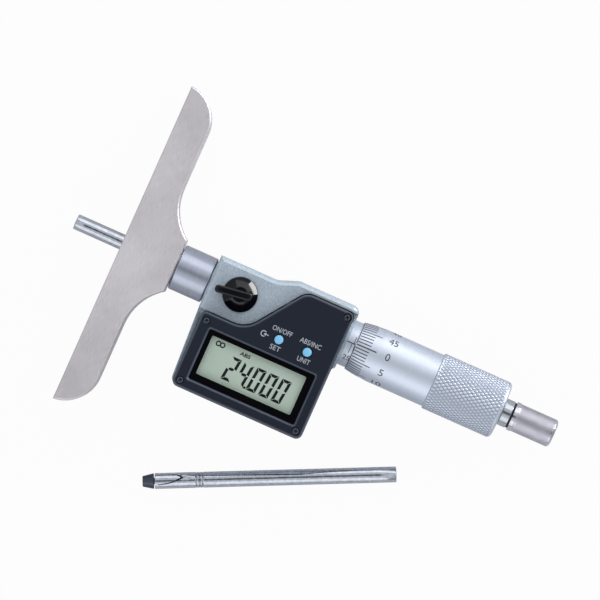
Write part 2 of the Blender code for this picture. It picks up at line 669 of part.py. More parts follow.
def make_housing():
    """The black front shell, with its sunk display frame, button holes and screw posts."""
    housing = plate("front_housing", rounded(housing_corners()), HOUSING_LOW, HOUSING_FRONT, GAUGE,
                    BLACK_SHELL, front=HOUSING_EDGE)
    cut(housing, plate("housing_inside", rounded(offset(housing_corners(), -HOUSING_WALL)),
                       HOUSING_LOW - OVER, HOUSING_INSIDE, GAUGE))
    for i, (x, y, point) in enumerate(screw_places()):
        join(housing, drill(f"screw_post_{i + 1}", HOUSING_LOW + GAP, HOUSING_INSIDE + GAP, SCREW_POST_RADIUS,
                            GAUGE, at=(x, y)))
    cut(housing,
        plate("recess_cut", recess_outline(), HOUSING_FRONT - RECESS_DEPTH, HOUSING_FRONT + OVER, GAUGE,
              back=RECESS_DEPTH, steps=1),
        plate("window_cut", rounded(window_corners()), HOUSING_INSIDE - OVER, HOUSING_FRONT + OVER,
              GAUGE),
        drill("housing_barrel_cut", CHAMBER_START - CHAMBER_END_WALL - GAP, FRAME_RIGHT + OVER,
              CHAMBER_OUTER + GAP, GAUGE, ROUND_SIDES))
    for i, place in enumerate(BUTTON_PLACES):
        cut(housing, drill(f"button_hole_{i + 1}", HOUSING_INSIDE - OVER, HOUSING_FRONT + OVER,
                           BUTTON_RADIUS + GAP, GAUGE, at=place))
    shank, head = SCREW_SHANK_RADIUS + GAP, SCREW_HEAD_RADIUS + GAP
    for i, (x, y, point) in enumerate(screw_places()):
        well = bar([(0, shank), (SCREW_SEAT - GAP, shank), (SCREW_SEAT - GAP, head),
                    (HOUSING_FRONT + OVER, head)])
        cut(housing, turned(f"housing_screw_bore_{i + 1}", well, GAUGE, at=(x, y)), solver="MANIFOLD")


def make_screws():
    """The four screws that hold the housing to the casting."""
    for i, (x, y, point) in enumerate(screw_places()):
        outer = [(point, SCREW_SHANK_RADIUS), (SCREW_SEAT, SCREW_SHANK_RADIUS),
                 (SCREW_SEAT, SCREW_HEAD_RADIUS), (SCREW_SEAT + SCREW_HEAD_HEIGHT, SCREW_HEAD_RADIUS)]
        turned(f"housing_screw_{i + 1}", bar(outer), GAUGE, SCREW_BLACK, at=(x, y))


def make_display():
    """The clear window, the display panel, its rubber connector and the main board."""
    plate("display_window", rounded(window_corners(-GAP)), HOUSING_INSIDE,
          HOUSING_FRONT - RECESS_DEPTH - PANE_SINK, GAUGE, CLEAR)
    panel = window_corners(PANEL_BORDER)
    plate("display_panel", rounded(panel), PANEL_TOP - PANEL_THICKNESS, PANEL_TOP, GAUGE, DISPLAY_GREY)
    left, right, top = panel[0][0] + GAP, panel[1][0] - GAP, panel[2][1] - GAP
    block("display_connector", (left, top - CONNECTOR_WIDTH, CONNECTOR_TOP - CONNECTOR_HEIGHT),
          (right, top, CONNECTOR_TOP), GAUGE, RUBBER)
    block("main_board", (BOARD_LEFT, BOARD_LOW, BOARD_BOTTOM), (BOARD_RIGHT, BOARD_HIGH, BOARD_TOP),
          GAUGE, BOARD_GREEN)


def make_buttons():
    """Two round buttons, each with a flange that keeps it in, over a switch board on the barrel."""
    flange_top = HOUSING_INSIDE - GAP
    board_top = flange_top - BUTTON_FLANGE - BUTTON_TRAVEL - GAP / 2
    outer = [(flange_top - BUTTON_FLANGE, BUTTON_FLANGE_RADIUS), (flange_top, BUTTON_FLANGE_RADIUS),
             (flange_top, BUTTON_RADIUS), (HOUSING_FRONT + BUTTON_PROUD, BUTTON_RADIUS)]
    for name, place in zip(("button_left", "button_right"), BUTTON_PLACES):
        turned(name, bar(outer), GAUGE, BLUE, at=place)
    margin = SWITCH_BOARD_MARGIN
    left, right = BUTTON_PLACES[0][0] - margin, BUTTON_PLACES[1][0] + margin
    low, high = BUTTON_Y - margin, BUTTON_RADIUS
    plate("switch_board", [(left, low), (right, low), (right, high), (left + 2 * margin, high),
                           (left, BUTTON_Y)], CHAMBER_OUTER + GAP, board_top, GAUGE, BOARD_GREEN)


def make_battery():
    """The button cell in its holder, its contact, and the cap with its sealing ring."""
    cap_face = TRAY_BACK + CAP_SINK
    cap_inside = cap_face + CAP_THICKNESS
    cap_end = TRAY_INSIDE - GAP / 3
    cell_low = cap_end + GAP
    cell_high = cell_low + BATTERY_HEIGHT
    place = BATTERY_CENTRE
    cap = turned("battery_cap",
                 bar([(cap_face, CAP_RADIUS), (cap_inside, CAP_RADIUS), (cap_inside, CAP_SPIGOT_RADIUS),
                      (cap_end, CAP_SPIGOT_RADIUS)]), GAUGE, SATIN_CHROME, ROUND_SIDES, at=place)
    slot = Vector((CAP_SLOT_LENGTH / 2, CAP_SLOT_WIDTH / 2, 0))
    middle = Vector((*place, cap_face))
    cut(cap, block("coin_slot", middle - slot - Vector((0, 0, OVER)),
                   middle + slot + Vector((0, 0, CAP_SLOT_DEPTH)), GAUGE))

    ring_radius = (CAP_SPIGOT_RADIUS + CAP_RADIUS + GAP) / 2
    ring_height = cap_inside + SEAM + O_RING_SECTION
    angles = [2 * math.pi * i / O_RING_SIDES for i in range(O_RING_SIDES)]
    section = [(ring_height + O_RING_SECTION * math.cos(a), ring_radius + O_RING_SECTION * math.sin(a))
               for a in angles]
    turned("battery_o_ring", section, GAUGE, RUBBER, ROUND_SIDES, at=place, ring=True)

    chamfer = BATTERY_CHAMFER
    turned("battery_cell",
           bar([(cell_low, BATTERY_RADIUS - chamfer), (cell_low + chamfer, BATTERY_RADIUS),
                (cell_high - chamfer, BATTERY_RADIUS), (cell_high, BATTERY_RADIUS - chamfer)]),
           GAUGE, CELL_STEEL, at=place)
    inner = BATTERY_RADIUS + GAP
    contact_low = cell_high + GAP
    contact_high = contact_low + CONTACT_THICKNESS
    holder = [TRAY_INSIDE + GAP, contact_high]
    turned("battery_holder", tube([(h, inner + HOLDER_WALL) for h in holder], [(h, inner) for h in holder]),
           GAUGE, BLACK_SHELL, at=place, ring=True)
    radius = BATTERY_RADIUS - GAP
    contact = turned("battery_contact", bar([(contact_low, radius), (contact_high, radius)]), GAUGE,
                     BRASS, at=place)
    x, y = place
    tab = CONTACT_TAB_WIDTH / 2
    join(contact, block("contact_tab", (x - tab, y, (contact_low + contact_high) / 2),
                        (x + tab, y + CONTACT_THICKNESS, BOARD_BOTTOM - GAP), GAUGE))


def make_lock():
    """The lock: a round knob with a lever across it, its screw, and the shoe that grips the spindle."""
    pivot = empty("lock_pivot", (LOCK_CENTRE, 0, 0), GAUGE, LOCK_TURN)
    foot = FRAME_FACE + GAP
    crown = foot + LOCK_KNOB_HEIGHT
    rim = foot + LOCK_KNOB_RIM
    middle = ((LOCK_KNOB_RADIUS + LOCK_KNOB_CROWN_RADIUS) / 2, (rim + 2 * crown) / 3)
    knob = turned("lock_lever",
                  bar([(foot, LOCK_KNOB_RADIUS), (rim, LOCK_KNOB_RADIUS), (middle[1], middle[0]),
                       (crown, LOCK_KNOB_CROWN_RADIUS)]), GAUGE, BLACK_GLOSS, ROUND_SIDES,
                  at=(LOCK_CENTRE, 0))
    half = LOCK_FIN_HALF_WIDTH
    fin = plate("lock_fin", rounded(rectangle(-LOCK_FIN_TAIL, -half, LOCK_FIN_LENGTH, half, LOCK_FIN_CORNER)),
                foot + LOCK_FIN_FOOT, FRAME_FACE + LOCK_FIN_TOP, pivot, front=LOCK_FIN_EDGE,
                back=LOCK_FIN_EDGE, steps=1)
    join(knob, fin)
    socket_top = foot + LOCK_SOCKET_DEPTH
    cut(knob, drill("lock_socket", foot - OVER, socket_top, LOCK_SCREW_RADIUS + GAP, GAUGE,
                    at=(LOCK_CENTRE, 0)))
    shoe_low = SPINDLE_BORE
    shoe_high = shoe_low + LOCK_SHOE_HEIGHT
    turned("lock_screw", bar([(shoe_high + GAP, LOCK_SCREW_RADIUS), (socket_top - GAP, LOCK_SCREW_RADIUS)]),
           GAUGE, BRIGHT_STEEL, at=(LOCK_CENTRE, 0))
    turned("lock_shoe", bar([(shoe_low, LOCK_SHOE_RADIUS), (shoe_high, LOCK_SHOE_RADIUS)]), GAUGE, BRASS,
           at=(LOCK_CENTRE, 0))


def make_encoder():
    """The fixed ring, the ring that turns with the spindle, its key, and the ring that keeps it in."""
    end = STATOR_START + DISC_THICKNESS
    turned("encoder_stator",
           tube([(STATOR_START, DISC_RADIUS), (end, DISC_RADIUS)],
                [(STATOR_START, STATOR_BORE), (end, STATOR_BORE)]), GAUGE, BOARD_GREEN, ring=True)
    disc_end = ROTOR_START + DISC_THICKNESS
    rotor = turned("encoder_rotor",
                   tube([(ROTOR_START, DISC_RADIUS), (disc_end, DISC_RADIUS), (disc_end, ROTOR_HUB_RADIUS),
                         (ROTOR_END, ROTOR_HUB_RADIUS)],
                        [(ROTOR_START, SPINDLE_BORE), (ROTOR_END, SPINDLE_BORE)]), GAUGE, BRASS, ring=True)
    place = (KEY_X, 0)
    key_low = SPINDLE_RADIUS - KEYWAY_DEPTH + GAP
    cut(rotor, drill("key_bore", 0, ROTOR_HUB_RADIUS + OVER, KEY_RADIUS + GAP, GAUGE, at=place))
    turned("rotor_key", bar([(key_low, KEY_RADIUS), (ROTOR_HUB_RADIUS, KEY_RADIUS)]), GAUGE, BRIGHT_STEEL,
           at=place)
    end = RETAINER_START + RETAINER_THICKNESS
    turned("encoder_retainer",
           tube([(RETAINER_START, DISC_RADIUS), (end, DISC_RADIUS)],
                [(RETAINER_START, SPINDLE_BORE + GAP), (end, SPINDLE_BORE + GAP)]), GAUGE, BRASS, ring=True)


def make_sleeves():
    """The thread sleeve with its flange and split end, the scale's sleeve, and the adjusting nut."""
    sleeve = turned("thread_sleeve",
                    tube([(FLANGE_START, DISC_RADIUS), (FLANGE_END, DISC_RADIUS), (FLANGE_END, THREAD_RADIUS),
                          (THREAD_END, THREAD_RADIUS)],
                         [(FLANGE_START, SPINDLE_BORE), (THREAD_END, SPINDLE_BORE)]), GAUGE, BRASS, ring=True)
    half = SPLIT_WIDTH / 2
    cut(sleeve, block("sleeve_split", (THREAD_END - SPLIT_LENGTH, -half, -THREAD_RADIUS - OVER),
                      (THREAD_END + OVER, half, THREAD_RADIUS + OVER), GAUGE))
    inner = SLEEVE_RADIUS - SLEEVE_WALL
    turned("graduated_sleeve",
           tube([(FRAME_RIGHT, SLEEVE_RADIUS), (SLEEVE_END, SLEEVE_RADIUS)],
                [(FRAME_RIGHT, inner), (SLEEVE_END, inner)]), GAUGE, SATIN_CHROME, ROUND_SIDES, ring=True)
    end = NUT_START + NUT_LENGTH
    turned("adjusting_nut",
           tube([(NUT_START, SLEEVE_RADIUS), (end, SLEEVE_RADIUS)], [(NUT_START, inner), (end, inner)]),
           GAUGE, BRIGHT_STEEL, ring=True)


def make_spindle():
    """The hollow spindle: the rod's seat in its nose, a keyway, and a hole for the ratchet's shank."""
    seat_end = ROD_INNER_END + GAP
    seat_start = ROD_INNER_END - TIP_LENGTH + GAP
    shank_hole = STUB_START - STUB_SHANK_LENGTH - GAP
    shank_bore = STUB_SHANK_RADIUS + GAP
    outline = [
        (shank_hole, 0), (shank_hole, shank_bore), (SPINDLE_END, shank_bore),
        (SPINDLE_END, SPINDLE_RADIUS), (SPINDLE_NOSE + SPINDLE_NOSE_CHAMFER, SPINDLE_RADIUS),
        (SPINDLE_NOSE, SPINDLE_RADIUS - SPINDLE_NOSE_CHAMFER), (SPINDLE_NOSE, ROD_BORE),
        (seat_start, ROD_BORE), (seat_end, TIP_END_RADIUS + GAP), (seat_end, 0),
    ]
    spindle = turned("spindle", outline, GAUGE, BRIGHT_STEEL, ROUND_SIDES)
    half = KEY_RADIUS + GAP
    cut(spindle, block("keyway", (KEY_X - READING - 2 * half, -half, SPINDLE_RADIUS - KEYWAY_DEPTH),
                       (KEY_X + FORWARD + 2 * half, half, SPINDLE_RADIUS + OVER), GAUGE))


def make_thimble():
    """The thimble: a bevelled edge for its scale, a plain barrel, and the knurled grip."""
    knurl_start = THIMBLE_END - KNURL_LENGTH
    corner = KNURL_ROUND * (1 - math.sqrt(0.5))
    outer = [(THIMBLE_EDGE, THIMBLE_BORE + THIMBLE_EDGE_WALL)]
    outer += [(THIMBLE_EDGE + along, radius) for along, radius in THIMBLE_TAPER]
    outer += [
        (knurl_start, THIMBLE_RADIUS), (knurl_start, KNURL_RADIUS - KNURL_CHAMFER),
        (knurl_start + KNURL_CHAMFER, KNURL_RADIUS), (THIMBLE_END - KNURL_ROUND, KNURL_RADIUS),
        (THIMBLE_END - corner, KNURL_RADIUS - corner), (THIMBLE_END, KNURL_RADIUS - KNURL_ROUND),
    ]
    well_end = THIMBLE_END - THIMBLE_END_WALL
    seat_end = THIMBLE_END - THIMBLE_FACE_WALL
    hole = STUB_SHANK_RADIUS + GAP
    bore = [(THIMBLE_EDGE, THIMBLE_BORE), (well_end, THIMBLE_BORE), (well_end, SPINDLE_BORE),
            (seat_end, SPINDLE_BORE), (seat_end, hole), (THIMBLE_END, hole)]
    turned("thimble", tube(outer, bore), GAUGE, SATIN_CHROME, ROUND_SIDES, ring=True)


def make_ratchet():
    """The ratchet: a stub screwed into the spindle, a pawl ring, a spring, the knob and its screw."""
    shank_start = STUB_START - STUB_SHANK_LENGTH
    screw_head = KNOB_END - END_SCREW_SINK - END_SCREW_HEAD
    screw_start = screw_head - END_SCREW_LENGTH
    hole = END_SCREW_SHANK + GAP
    hole_end = screw_start - GAP
    outline = [
        (hole_end, 0), (hole_end, hole), (POST_END, hole), (POST_END, STUB_POST_RADIUS),
        (STUB_END, STUB_POST_RADIUS), (STUB_END, STUB_RADIUS), (STUB_START, STUB_RADIUS),
        (STUB_START, STUB_SHANK_RADIUS), (shank_start, STUB_SHANK_RADIUS), (shank_start, 0),
    ]
    turned("ratchet_body", outline, GAUGE, BRIGHT_STEEL)

    bore = STUB_POST_RADIUS + GAP
    outer = [(KNOB_START, KNOB_COLLAR_RADIUS), (KNOB_START + KNOB_COLLAR_LENGTH, KNOB_COLLAR_RADIUS),
             (KNOB_START + KNOB_COLLAR_LENGTH, KNOB_RADIUS), (KNOB_END - KNOB_CHAMFER, KNOB_RADIUS),
             (KNOB_END, KNOB_RADIUS - KNOB_CHAMFER)]
    head_well = screw_head - GAP
    well = [(KNOB_START, KNOB_BORE), (KNOB_WELL_END, KNOB_BORE), (KNOB_WELL_END, hole),
            (head_well, hole), (head_well, END_SCREW_RADIUS + GAP), (KNOB_END, END_SCREW_RADIUS + GAP)]
    turned("ratchet_knob", tube(outer, well), GAUGE, BRIGHT_STEEL, ROUND_SIDES, ring=True)

    pawl_start = KNOB_START + GAP
    pawl_end = pawl_start + PAWL_THICKNESS
    pawl_outer = KNOB_BORE - GAP
    turned("ratchet_pawl",
           tube([(pawl_start, pawl_outer), (pawl_end, pawl_outer)], [(pawl_start, bore), (pawl_end, bore)]),
           GAUGE, BRASS, ring=True)
    turned("ratchet_screw",
           bar([(screw_start, END_SCREW_SHANK), (screw_head, END_SCREW_SHANK), (screw_head, END_SCREW_RADIUS),
                (screw_head + END_SCREW_HEAD, END_SCREW_RADIUS)]), GAUGE, BRIGHT_STEEL)
    make_spring(pawl_end + GAP + SPRING_WIRE_RADIUS, KNOB_WELL_END - GAP - SPRING_WIRE_RADIUS,
                (bore + pawl_outer) / 2)


def make_spring(start, end, radius):
    """The ratchet's spring, one round wire wound from start to end."""
    points_a_turn = 10
    count = SPRING_TURNS * points_a_turn
    curve = bpy.data.curves.new("ratchet_spring", "CURVE")
    curve.dimensions = "3D"
    curve.bevel_depth = SPRING_WIRE_RADIUS
    curve.bevel_resolution = 1
    curve.use_fill_caps = True
    wire = curve.splines.new("POLY")
    wire.points.add(count)
    for i, point in enumerate(wire.points):
        angle = 2 * math.pi * i / points_a_turn
        point.co = (start + (end - start) * i / count, radius * math.cos(angle), radius * math.sin(angle), 1)
    add("ratchet_spring", curve, GAUGE, BRIGHT_STEEL)


def make_rod(name, length, parent):
    """A rod with its dark cone at x = 0 and its flat measuring end at the far end."""
    start = TIP_LENGTH + SEAM
    spigot_end = start + TIP_SPIGOT_LENGTH
    hole = TIP_SPIGOT_RADIUS + GAP
    outer = [(start, ROD_RADIUS)]
    for i in range(ROD_RINGS):
        ring = ROD_RING_START + i * ROD_RING_PITCH
        outer += [(ring, ROD_RADIUS), (ring, ROD_RADIUS - ROD_RING_DEPTH),
                  (ring + ROD_RING_WIDTH, ROD_RADIUS - ROD_RING_DEPTH), (ring + ROD_RING_WIDTH, ROD_RADIUS)]
    outer += [(length - ROD_CHAMFER, ROD_RADIUS), (length, ROD_RADIUS - ROD_CHAMFER)]
    outline = [(length, 0), *reversed(outer), (start, hole), (spigot_end + GAP, hole), (spigot_end + GAP, 0)]
    rod = turned(name, outline, parent, BRIGHT_STEEL)
    half = ROD_SLOT_WIDTH / 2
    cut(rod, block(f"{name}_split", (ROD_SLOT_START, -half, 0), (ROD_SLOT_END, half, ROD_RADIUS + OVER),
                   parent))
    tip = [(0, TIP_END_RADIUS), (TIP_LENGTH, ROD_RADIUS), (TIP_LENGTH, TIP_SPIGOT_RADIUS),
           (spigot_end, TIP_SPIGOT_RADIUS)]
    turned(f"{name}_tip", bar(tip), parent, DARK_STEEL)


def make_rods():
    """The fitted rod, whose cone seats inside the spindle, and the spare one beside the gauge."""
    seat = empty("fitted_rod_seat", (ROD_INNER_END, 0, 0), GAUGE, math.pi)
    make_rod("measuring_rod", FITTED_ROD_LENGTH, seat)
    place = empty("spare_rod_place", (SPARE_ROD_X, SPARE_ROD_Y, ROD_RADIUS - FRAME_BACK), GAUGE,
                  SPARE_ROD_TURN)
    make_rod("spare_rod", SPARE_ROD_LENGTH, place)


for old in list(bpy.data.objects):
    bpy.data.objects.remove(old, do_unlink=True)
PARTS = collection("depth_gauge")
CUTTERS = collection("cutters")
GAUGE = empty("gauge_axis", (-MIDDLE_X, -MIDDLE_Y, FRAME_BACK))

make_base()
make_neck()
make_frame()
make_seal()
make_housing()
make_screws()
make_display()
make_buttons()
make_battery()
make_lock()
make_encoder()
make_sleeves()
make_spindle()
make_thimble()
make_ratchet()
make_rods()
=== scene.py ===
# %% [markdown]
# # Dressing a digital depth gauge
#
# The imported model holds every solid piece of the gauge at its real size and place. This lesson
# gives those pieces their surfaces: ground and chromed steel, enamel, moulded plastic, a
# knurled grip, engraved scales and a liquid-crystal display. It reads the model first, because
# every new surface is placed from the solid that carries it.

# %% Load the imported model
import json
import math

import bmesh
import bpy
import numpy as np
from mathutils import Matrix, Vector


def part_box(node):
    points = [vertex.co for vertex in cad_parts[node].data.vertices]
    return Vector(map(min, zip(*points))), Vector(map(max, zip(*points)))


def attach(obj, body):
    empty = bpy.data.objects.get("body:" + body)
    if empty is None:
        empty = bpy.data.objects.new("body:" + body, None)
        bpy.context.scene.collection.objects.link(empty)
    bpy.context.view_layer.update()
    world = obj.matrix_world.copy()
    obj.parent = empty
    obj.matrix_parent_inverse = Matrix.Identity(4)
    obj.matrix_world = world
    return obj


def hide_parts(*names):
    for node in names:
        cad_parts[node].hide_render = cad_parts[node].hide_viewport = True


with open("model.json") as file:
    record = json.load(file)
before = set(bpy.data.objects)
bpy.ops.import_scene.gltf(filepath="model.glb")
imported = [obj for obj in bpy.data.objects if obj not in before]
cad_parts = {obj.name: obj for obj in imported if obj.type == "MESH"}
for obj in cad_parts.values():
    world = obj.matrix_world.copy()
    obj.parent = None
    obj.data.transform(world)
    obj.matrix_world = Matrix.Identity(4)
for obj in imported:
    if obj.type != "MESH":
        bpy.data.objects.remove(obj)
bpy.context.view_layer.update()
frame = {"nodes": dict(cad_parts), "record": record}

# %% [markdown]
# ## Units and axes
#
# The model is in metres, but a gauge is easier to think about in millimetres. All shapes below
# are worked out in millimetres on the gauge's own axes: x runs along the spindle from the
# measuring face, y along the base, and z up out of the display. One array of offsets then
# carries them to their place, so no object has to be moved or turned afterwards.

turned_low, turned_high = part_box("thimble")
AXES = np.array([
    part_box("measuring_base")[0].x,
    (turned_low.y + turned_high.y) / 2,
    (turned_low.z + turned_high.z) / 2,
])


def span(node):
    """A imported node's lowest and highest corners, in millimetres on the gauge's axes."""
    return [(np.array(corner) - AXES) * 1000 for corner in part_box(node)]


FLOOR = -AXES[2] * 1000
print("spindle axis at", np.round(AXES * 1000, 2), "mm, floor", round(FLOOR, 2), "mm below it")

# %% [markdown]
# ## From arrays to a mesh
#
# Most pieces here are a grid: one parameter runs along a profile and the other around an axis.
# The faces of such a grid follow from its numbering alone, so they are worked out once, as
# whole arrays. Points that fall together at a pole are merged, and the normals are made to
# point outwards after that, because merging first gives them one closed skin to judge by.

# %% Grid faces and finished objects
MERGE = 1e-7


def grid_faces(rows, columns, closed=False):
    """Each face joins a grid point with its neighbours in the next column and the next row.

    The last column meets the first, and so does the last row where the grid is closed.
    """
    i, j = np.meshgrid(np.arange(rows if closed else rows - 1), np.arange(columns), indexing="ij")
    below, beside = (i + 1) % rows, (j + 1) % columns
    corners = [i * columns + j, i * columns + beside, below * columns + beside, below * columns + j]
    return np.stack(corners, axis=-1).reshape(-1, 4)


def tidy(mesh, sharp):
    """Merges points that fall together, turns the faces outwards and keeps the sharp edges sharp."""
    shape = bmesh.new()
    shape.from_mesh(mesh)
    bmesh.ops.remove_doubles(shape, verts=shape.verts, dist=MERGE)
    bmesh.ops.recalc_face_normals(shape, faces=shape.faces)
    shape.to_mesh(mesh)
    shape.free()
    mesh.shade_smooth()
    mesh.set_sharp_from_angle(angle=math.radians(sharp))


def linked(name, mesh, finish, body, slot=None, stands_for=()):
    """An object of one finish that rides on a body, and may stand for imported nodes."""
    made = bpy.data.objects.new(name, mesh)
    bpy.context.scene.collection.objects.link(made)
    mesh.materials.append(finish)
    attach(made, body)
    if stands_for:
        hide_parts(*stands_for)
    return made


def piece(name, points, faces, body, finish, sharp=35, depth=None, **rest):
    """A finished object from points in millimetres and a list or an array of faces.

    Depth is a number for each point, from 0 on the surface to 1 at the bottom of a groove. It is
    kept in the mesh, so that the finish can paint shade into what lies deep.
    """
    mesh = bpy.data.meshes.new(name)
    faces = faces if isinstance(faces, list) else faces.tolist()
    mesh.from_pydata((AXES + points / 1000).tolist(), [], faces)
    if depth is not None:
        kept = mesh.attributes.new("depth", "FLOAT", "POINT")
        kept.data.foreach_set("value", np.ravel(depth).astype(np.float32))
    tidy(mesh, sharp)
    return linked(name, mesh, finish, body, **rest)


def swung(points, angle):
    """Points turned about the vertical through the origin, by an angle in radians."""
    x, y, z = points.T
    sine, cosine = math.sin(angle), math.cos(angle)
    return np.stack([cosine * x - sine * y, sine * x + cosine * y, z], axis=-1)


# %% [markdown]
# ## Finishes
#
# No real surface is one flat colour. A ground face has a grain, a turned one has fine rings,
# enamel is lumpy and moulded plastic has a skin. All of these are noise that is stretched in
# some direction, so one function makes them: it says how large the grain is in millimetres
# along each axis, and lets that grain vary the colour, the roughness and the relief.

# %% A finish from stretched noise
GRAIN_LOW, GRAIN_HIGH = 0.3, 0.7  # noise seldom leaves this range


def add_node(owner, kind, **values):
    """A new node for a material or a world, with its settings and its sockets' constant values.

    Blender writes a setting in small letters and a socket with a capital, which tells them apart.
    """
    made = owner.node_tree.nodes.new("ShaderNode" + kind)
    for name, value in values.items():
        if name[0].islower():
            setattr(made, name, value)
        else:
            made.inputs[name.replace("_", " ")].default_value = value
    return made


def add_ramp(owner, first, last, *between):
    """A colour ramp from its end stops and any stops between, each a position and a colour."""
    made = add_node(owner, "ValToRGB")
    stops = made.color_ramp.elements
    for stop, (position, colour) in zip(list(stops), (first, last)):
        stop.position = position
        stop.color = (*colour, 1)
    for position, colour in between:
        stops.new(position).color = (*colour, 1)
    return made


def finish(name, dark, light, rough, metallic=0.0, grain=(1, 1, 1), relief=0.0, detail=4.0,
           cloud=0.0, cloud_size=18.0, groove=None, **sockets):
    """A Principled material whose grain moves it between two colours and two roughnesses.

    Grain is the size of the noise in millimetres along x, y and z, and relief is its height.
    Cloud is the share of a second, much broader noise in the colour, for handling and uneven
    wear. Groove is the colour that a piece takes where its depth is 1, a painted shade at the
    bottom of a groove.
    """
    made = bpy.data.materials.new(name)
    made.use_nodes = True
    link = made.node_tree.links.new
    shader = made.node_tree.nodes["Principled BSDF"]
    shader.inputs["Metallic"].default_value = metallic
    for socket, value in sockets.items():
        shader.inputs[socket.replace("_", " ")].default_value = value
    place = add_node(made, "TexCoord")
    mapping = add_node(made, "Mapping", vector_type="TEXTURE", Scale=[size / 1000 for size in grain])
    noise = add_node(made, "TexNoise", Scale=1.0, Detail=detail)
    link(place.outputs["Object"], mapping.inputs["Vector"])
    link(mapping.outputs["Vector"], noise.inputs["Vector"])
    tone = noise.outputs["Fac"]
    if cloud:
        broad = add_node(made, "TexNoise", Scale=1000 / cloud_size, Detail=3.0)
        link(place.outputs["Object"], broad.inputs["Vector"])
        share = add_node(made, "Mix", Factor=cloud)
        link(noise.outputs["Fac"], share.inputs["A"])
        link(broad.outputs["Fac"], share.inputs["B"])
        tone = share.outputs["Result"]
    ramp = add_ramp(made, (GRAIN_LOW, dark), (GRAIN_HIGH, light))
    link(tone, ramp.inputs["Fac"])
    colour = ramp.outputs["Color"]
    if groove:
        depth = add_node(made, "Attribute", attribute_name="depth")
        deep = add_node(made, "Mix", data_type="RGBA", B=(*groove, 1))
        link(depth.outputs["Fac"], deep.inputs["Factor"])
        link(colour, deep.inputs["A"])
        colour = deep.outputs["Result"]
    link(colour, shader.inputs["Base Color"])
    spread = add_node(made, "MapRange", From_Min=GRAIN_LOW, From_Max=GRAIN_HIGH,
                      To_Min=rough[0], To_Max=rough[1])
    link(noise.outputs["Fac"], spread.inputs["Value"])
    link(spread.outputs["Result"], shader.inputs["Roughness"])
    if relief:
        bump = add_node(made, "Bump", Strength=1.0, Distance=relief / 1000)
        link(noise.outputs["Fac"], bump.inputs["Height"])
        link(bump.outputs["Normal"], shader.inputs["Normal"])
    return made


ground_steel = finish("ground_steel", (0.58, 0.545, 0.56), (0.93, 0.885, 0.91), (0.34, 0.46), 0.7,
                      grain=(0.1, 2.5, 0.1), relief=0.0003, detail=6, cloud=0.55, cloud_size=22)
satin_chrome = finish("satin_chrome", (0.62, 0.67, 0.77), (0.7, 0.75, 0.85), (0.42, 0.5), 1.0,
                      grain=(0.08, 3, 3), relief=0.0002)
neck_chrome = finish("neck_chrome", (0.4, 0.43, 0.51), (0.5, 0.53, 0.62), (0.3, 0.36), 1.0,
                     grain=(0.08, 3, 3), relief=0.0001)
polished_steel = finish("polished_steel", (0.46, 0.48, 0.52), (0.6, 0.62, 0.66), (0.14, 0.24), 1.0,
                        grain=(6, 0.15, 0.15), relief=0.0002)
# The casting's bevel finish is near-white, a painted highlight along its edges.
ENAMEL_RIM_HIGHLIGHT = ((0.78, 0.84, 0.9), (0.9, 0.94, 0.97))
enamel = finish("enamel", (0.36, 0.44, 0.52), (0.6, 0.68, 0.76), (0.3, 0.42), 0.3, grain=(0.5, 0.5, 0.5),
                relief=0.02, detail=2, cloud=0.35, cloud_size=12)
shell_plastic = finish("shell_plastic", (0.005, 0.009, 0.019), (0.008, 0.013, 0.026), (0.3, 0.4),
                       grain=(0.12, 0.12, 0.12), relief=0.002, Specular_IOR_Level=0.35)
enamel_rim_highlight = finish("enamel_rim_highlight", *ENAMEL_RIM_HIGHLIGHT, (0.25, 0.35), 0.1, grain=(0.5, 0.5, 0.5))
knob_plastic = finish("knob_plastic", (0.002, 0.002, 0.004), (0.004, 0.004, 0.007), (0.06, 0.09),
                      grain=(0.6, 0.6, 0.6), relief=0.0002, Specular_IOR_Level=0.45)
button_plastic = finish("button_plastic", (0.2, 0.56, 0.86), (0.27, 0.65, 0.93), (0.35, 0.45),
                        grain=(0.2, 0.2, 0.2), relief=0.001)
seal_rubber = finish("seal_rubber", (0.012, 0.012, 0.014), (0.02, 0.02, 0.022), (0.7, 0.85),
                     grain=(0.3, 0.3, 0.3), relief=0.004)
black_screw = finish("black_screw", (0.1, 0.11, 0.14), (0.15, 0.165, 0.2), (0.14, 0.2), 1.0,
                     grain=(0.3, 0.3, 0.3), relief=0.0002)
blued_steel = finish("blued_steel", (0.05, 0.062, 0.085), (0.085, 0.1, 0.13), (0.3, 0.4), 0.85,
                     grain=(0.1, 0.6, 0.6), relief=0.0005)
brass = finish("brass", (0.6, 0.44, 0.2), (0.7, 0.53, 0.27), (0.28, 0.38), 1.0, grain=(0.1, 1, 1),
               relief=0.0005)
lacquer = finish("lacquer", (0.015, 0.1, 0.04), (0.03, 0.15, 0.065), (0.3, 0.45), grain=(0.8, 0.8, 0.8),
                 relief=0.002)
cell_steel = finish("cell_steel", (0.6, 0.61, 0.63), (0.68, 0.69, 0.71), (0.2, 0.3), 1.0,
                    grain=(0.3, 0.3, 0.3))
# Dark paint for the engraved marks and letters; the same finish also paints the shadow line at the thimble's
# edge.
ink_and_edge_shadow = finish("ink_and_edge_shadow", (0.02, 0.022, 0.03), (0.035, 0.038, 0.05), (0.5, 0.6), grain=(0.1, 0.1, 0.1))
print(len(bpy.data.materials), "materials, with those of the packed model")
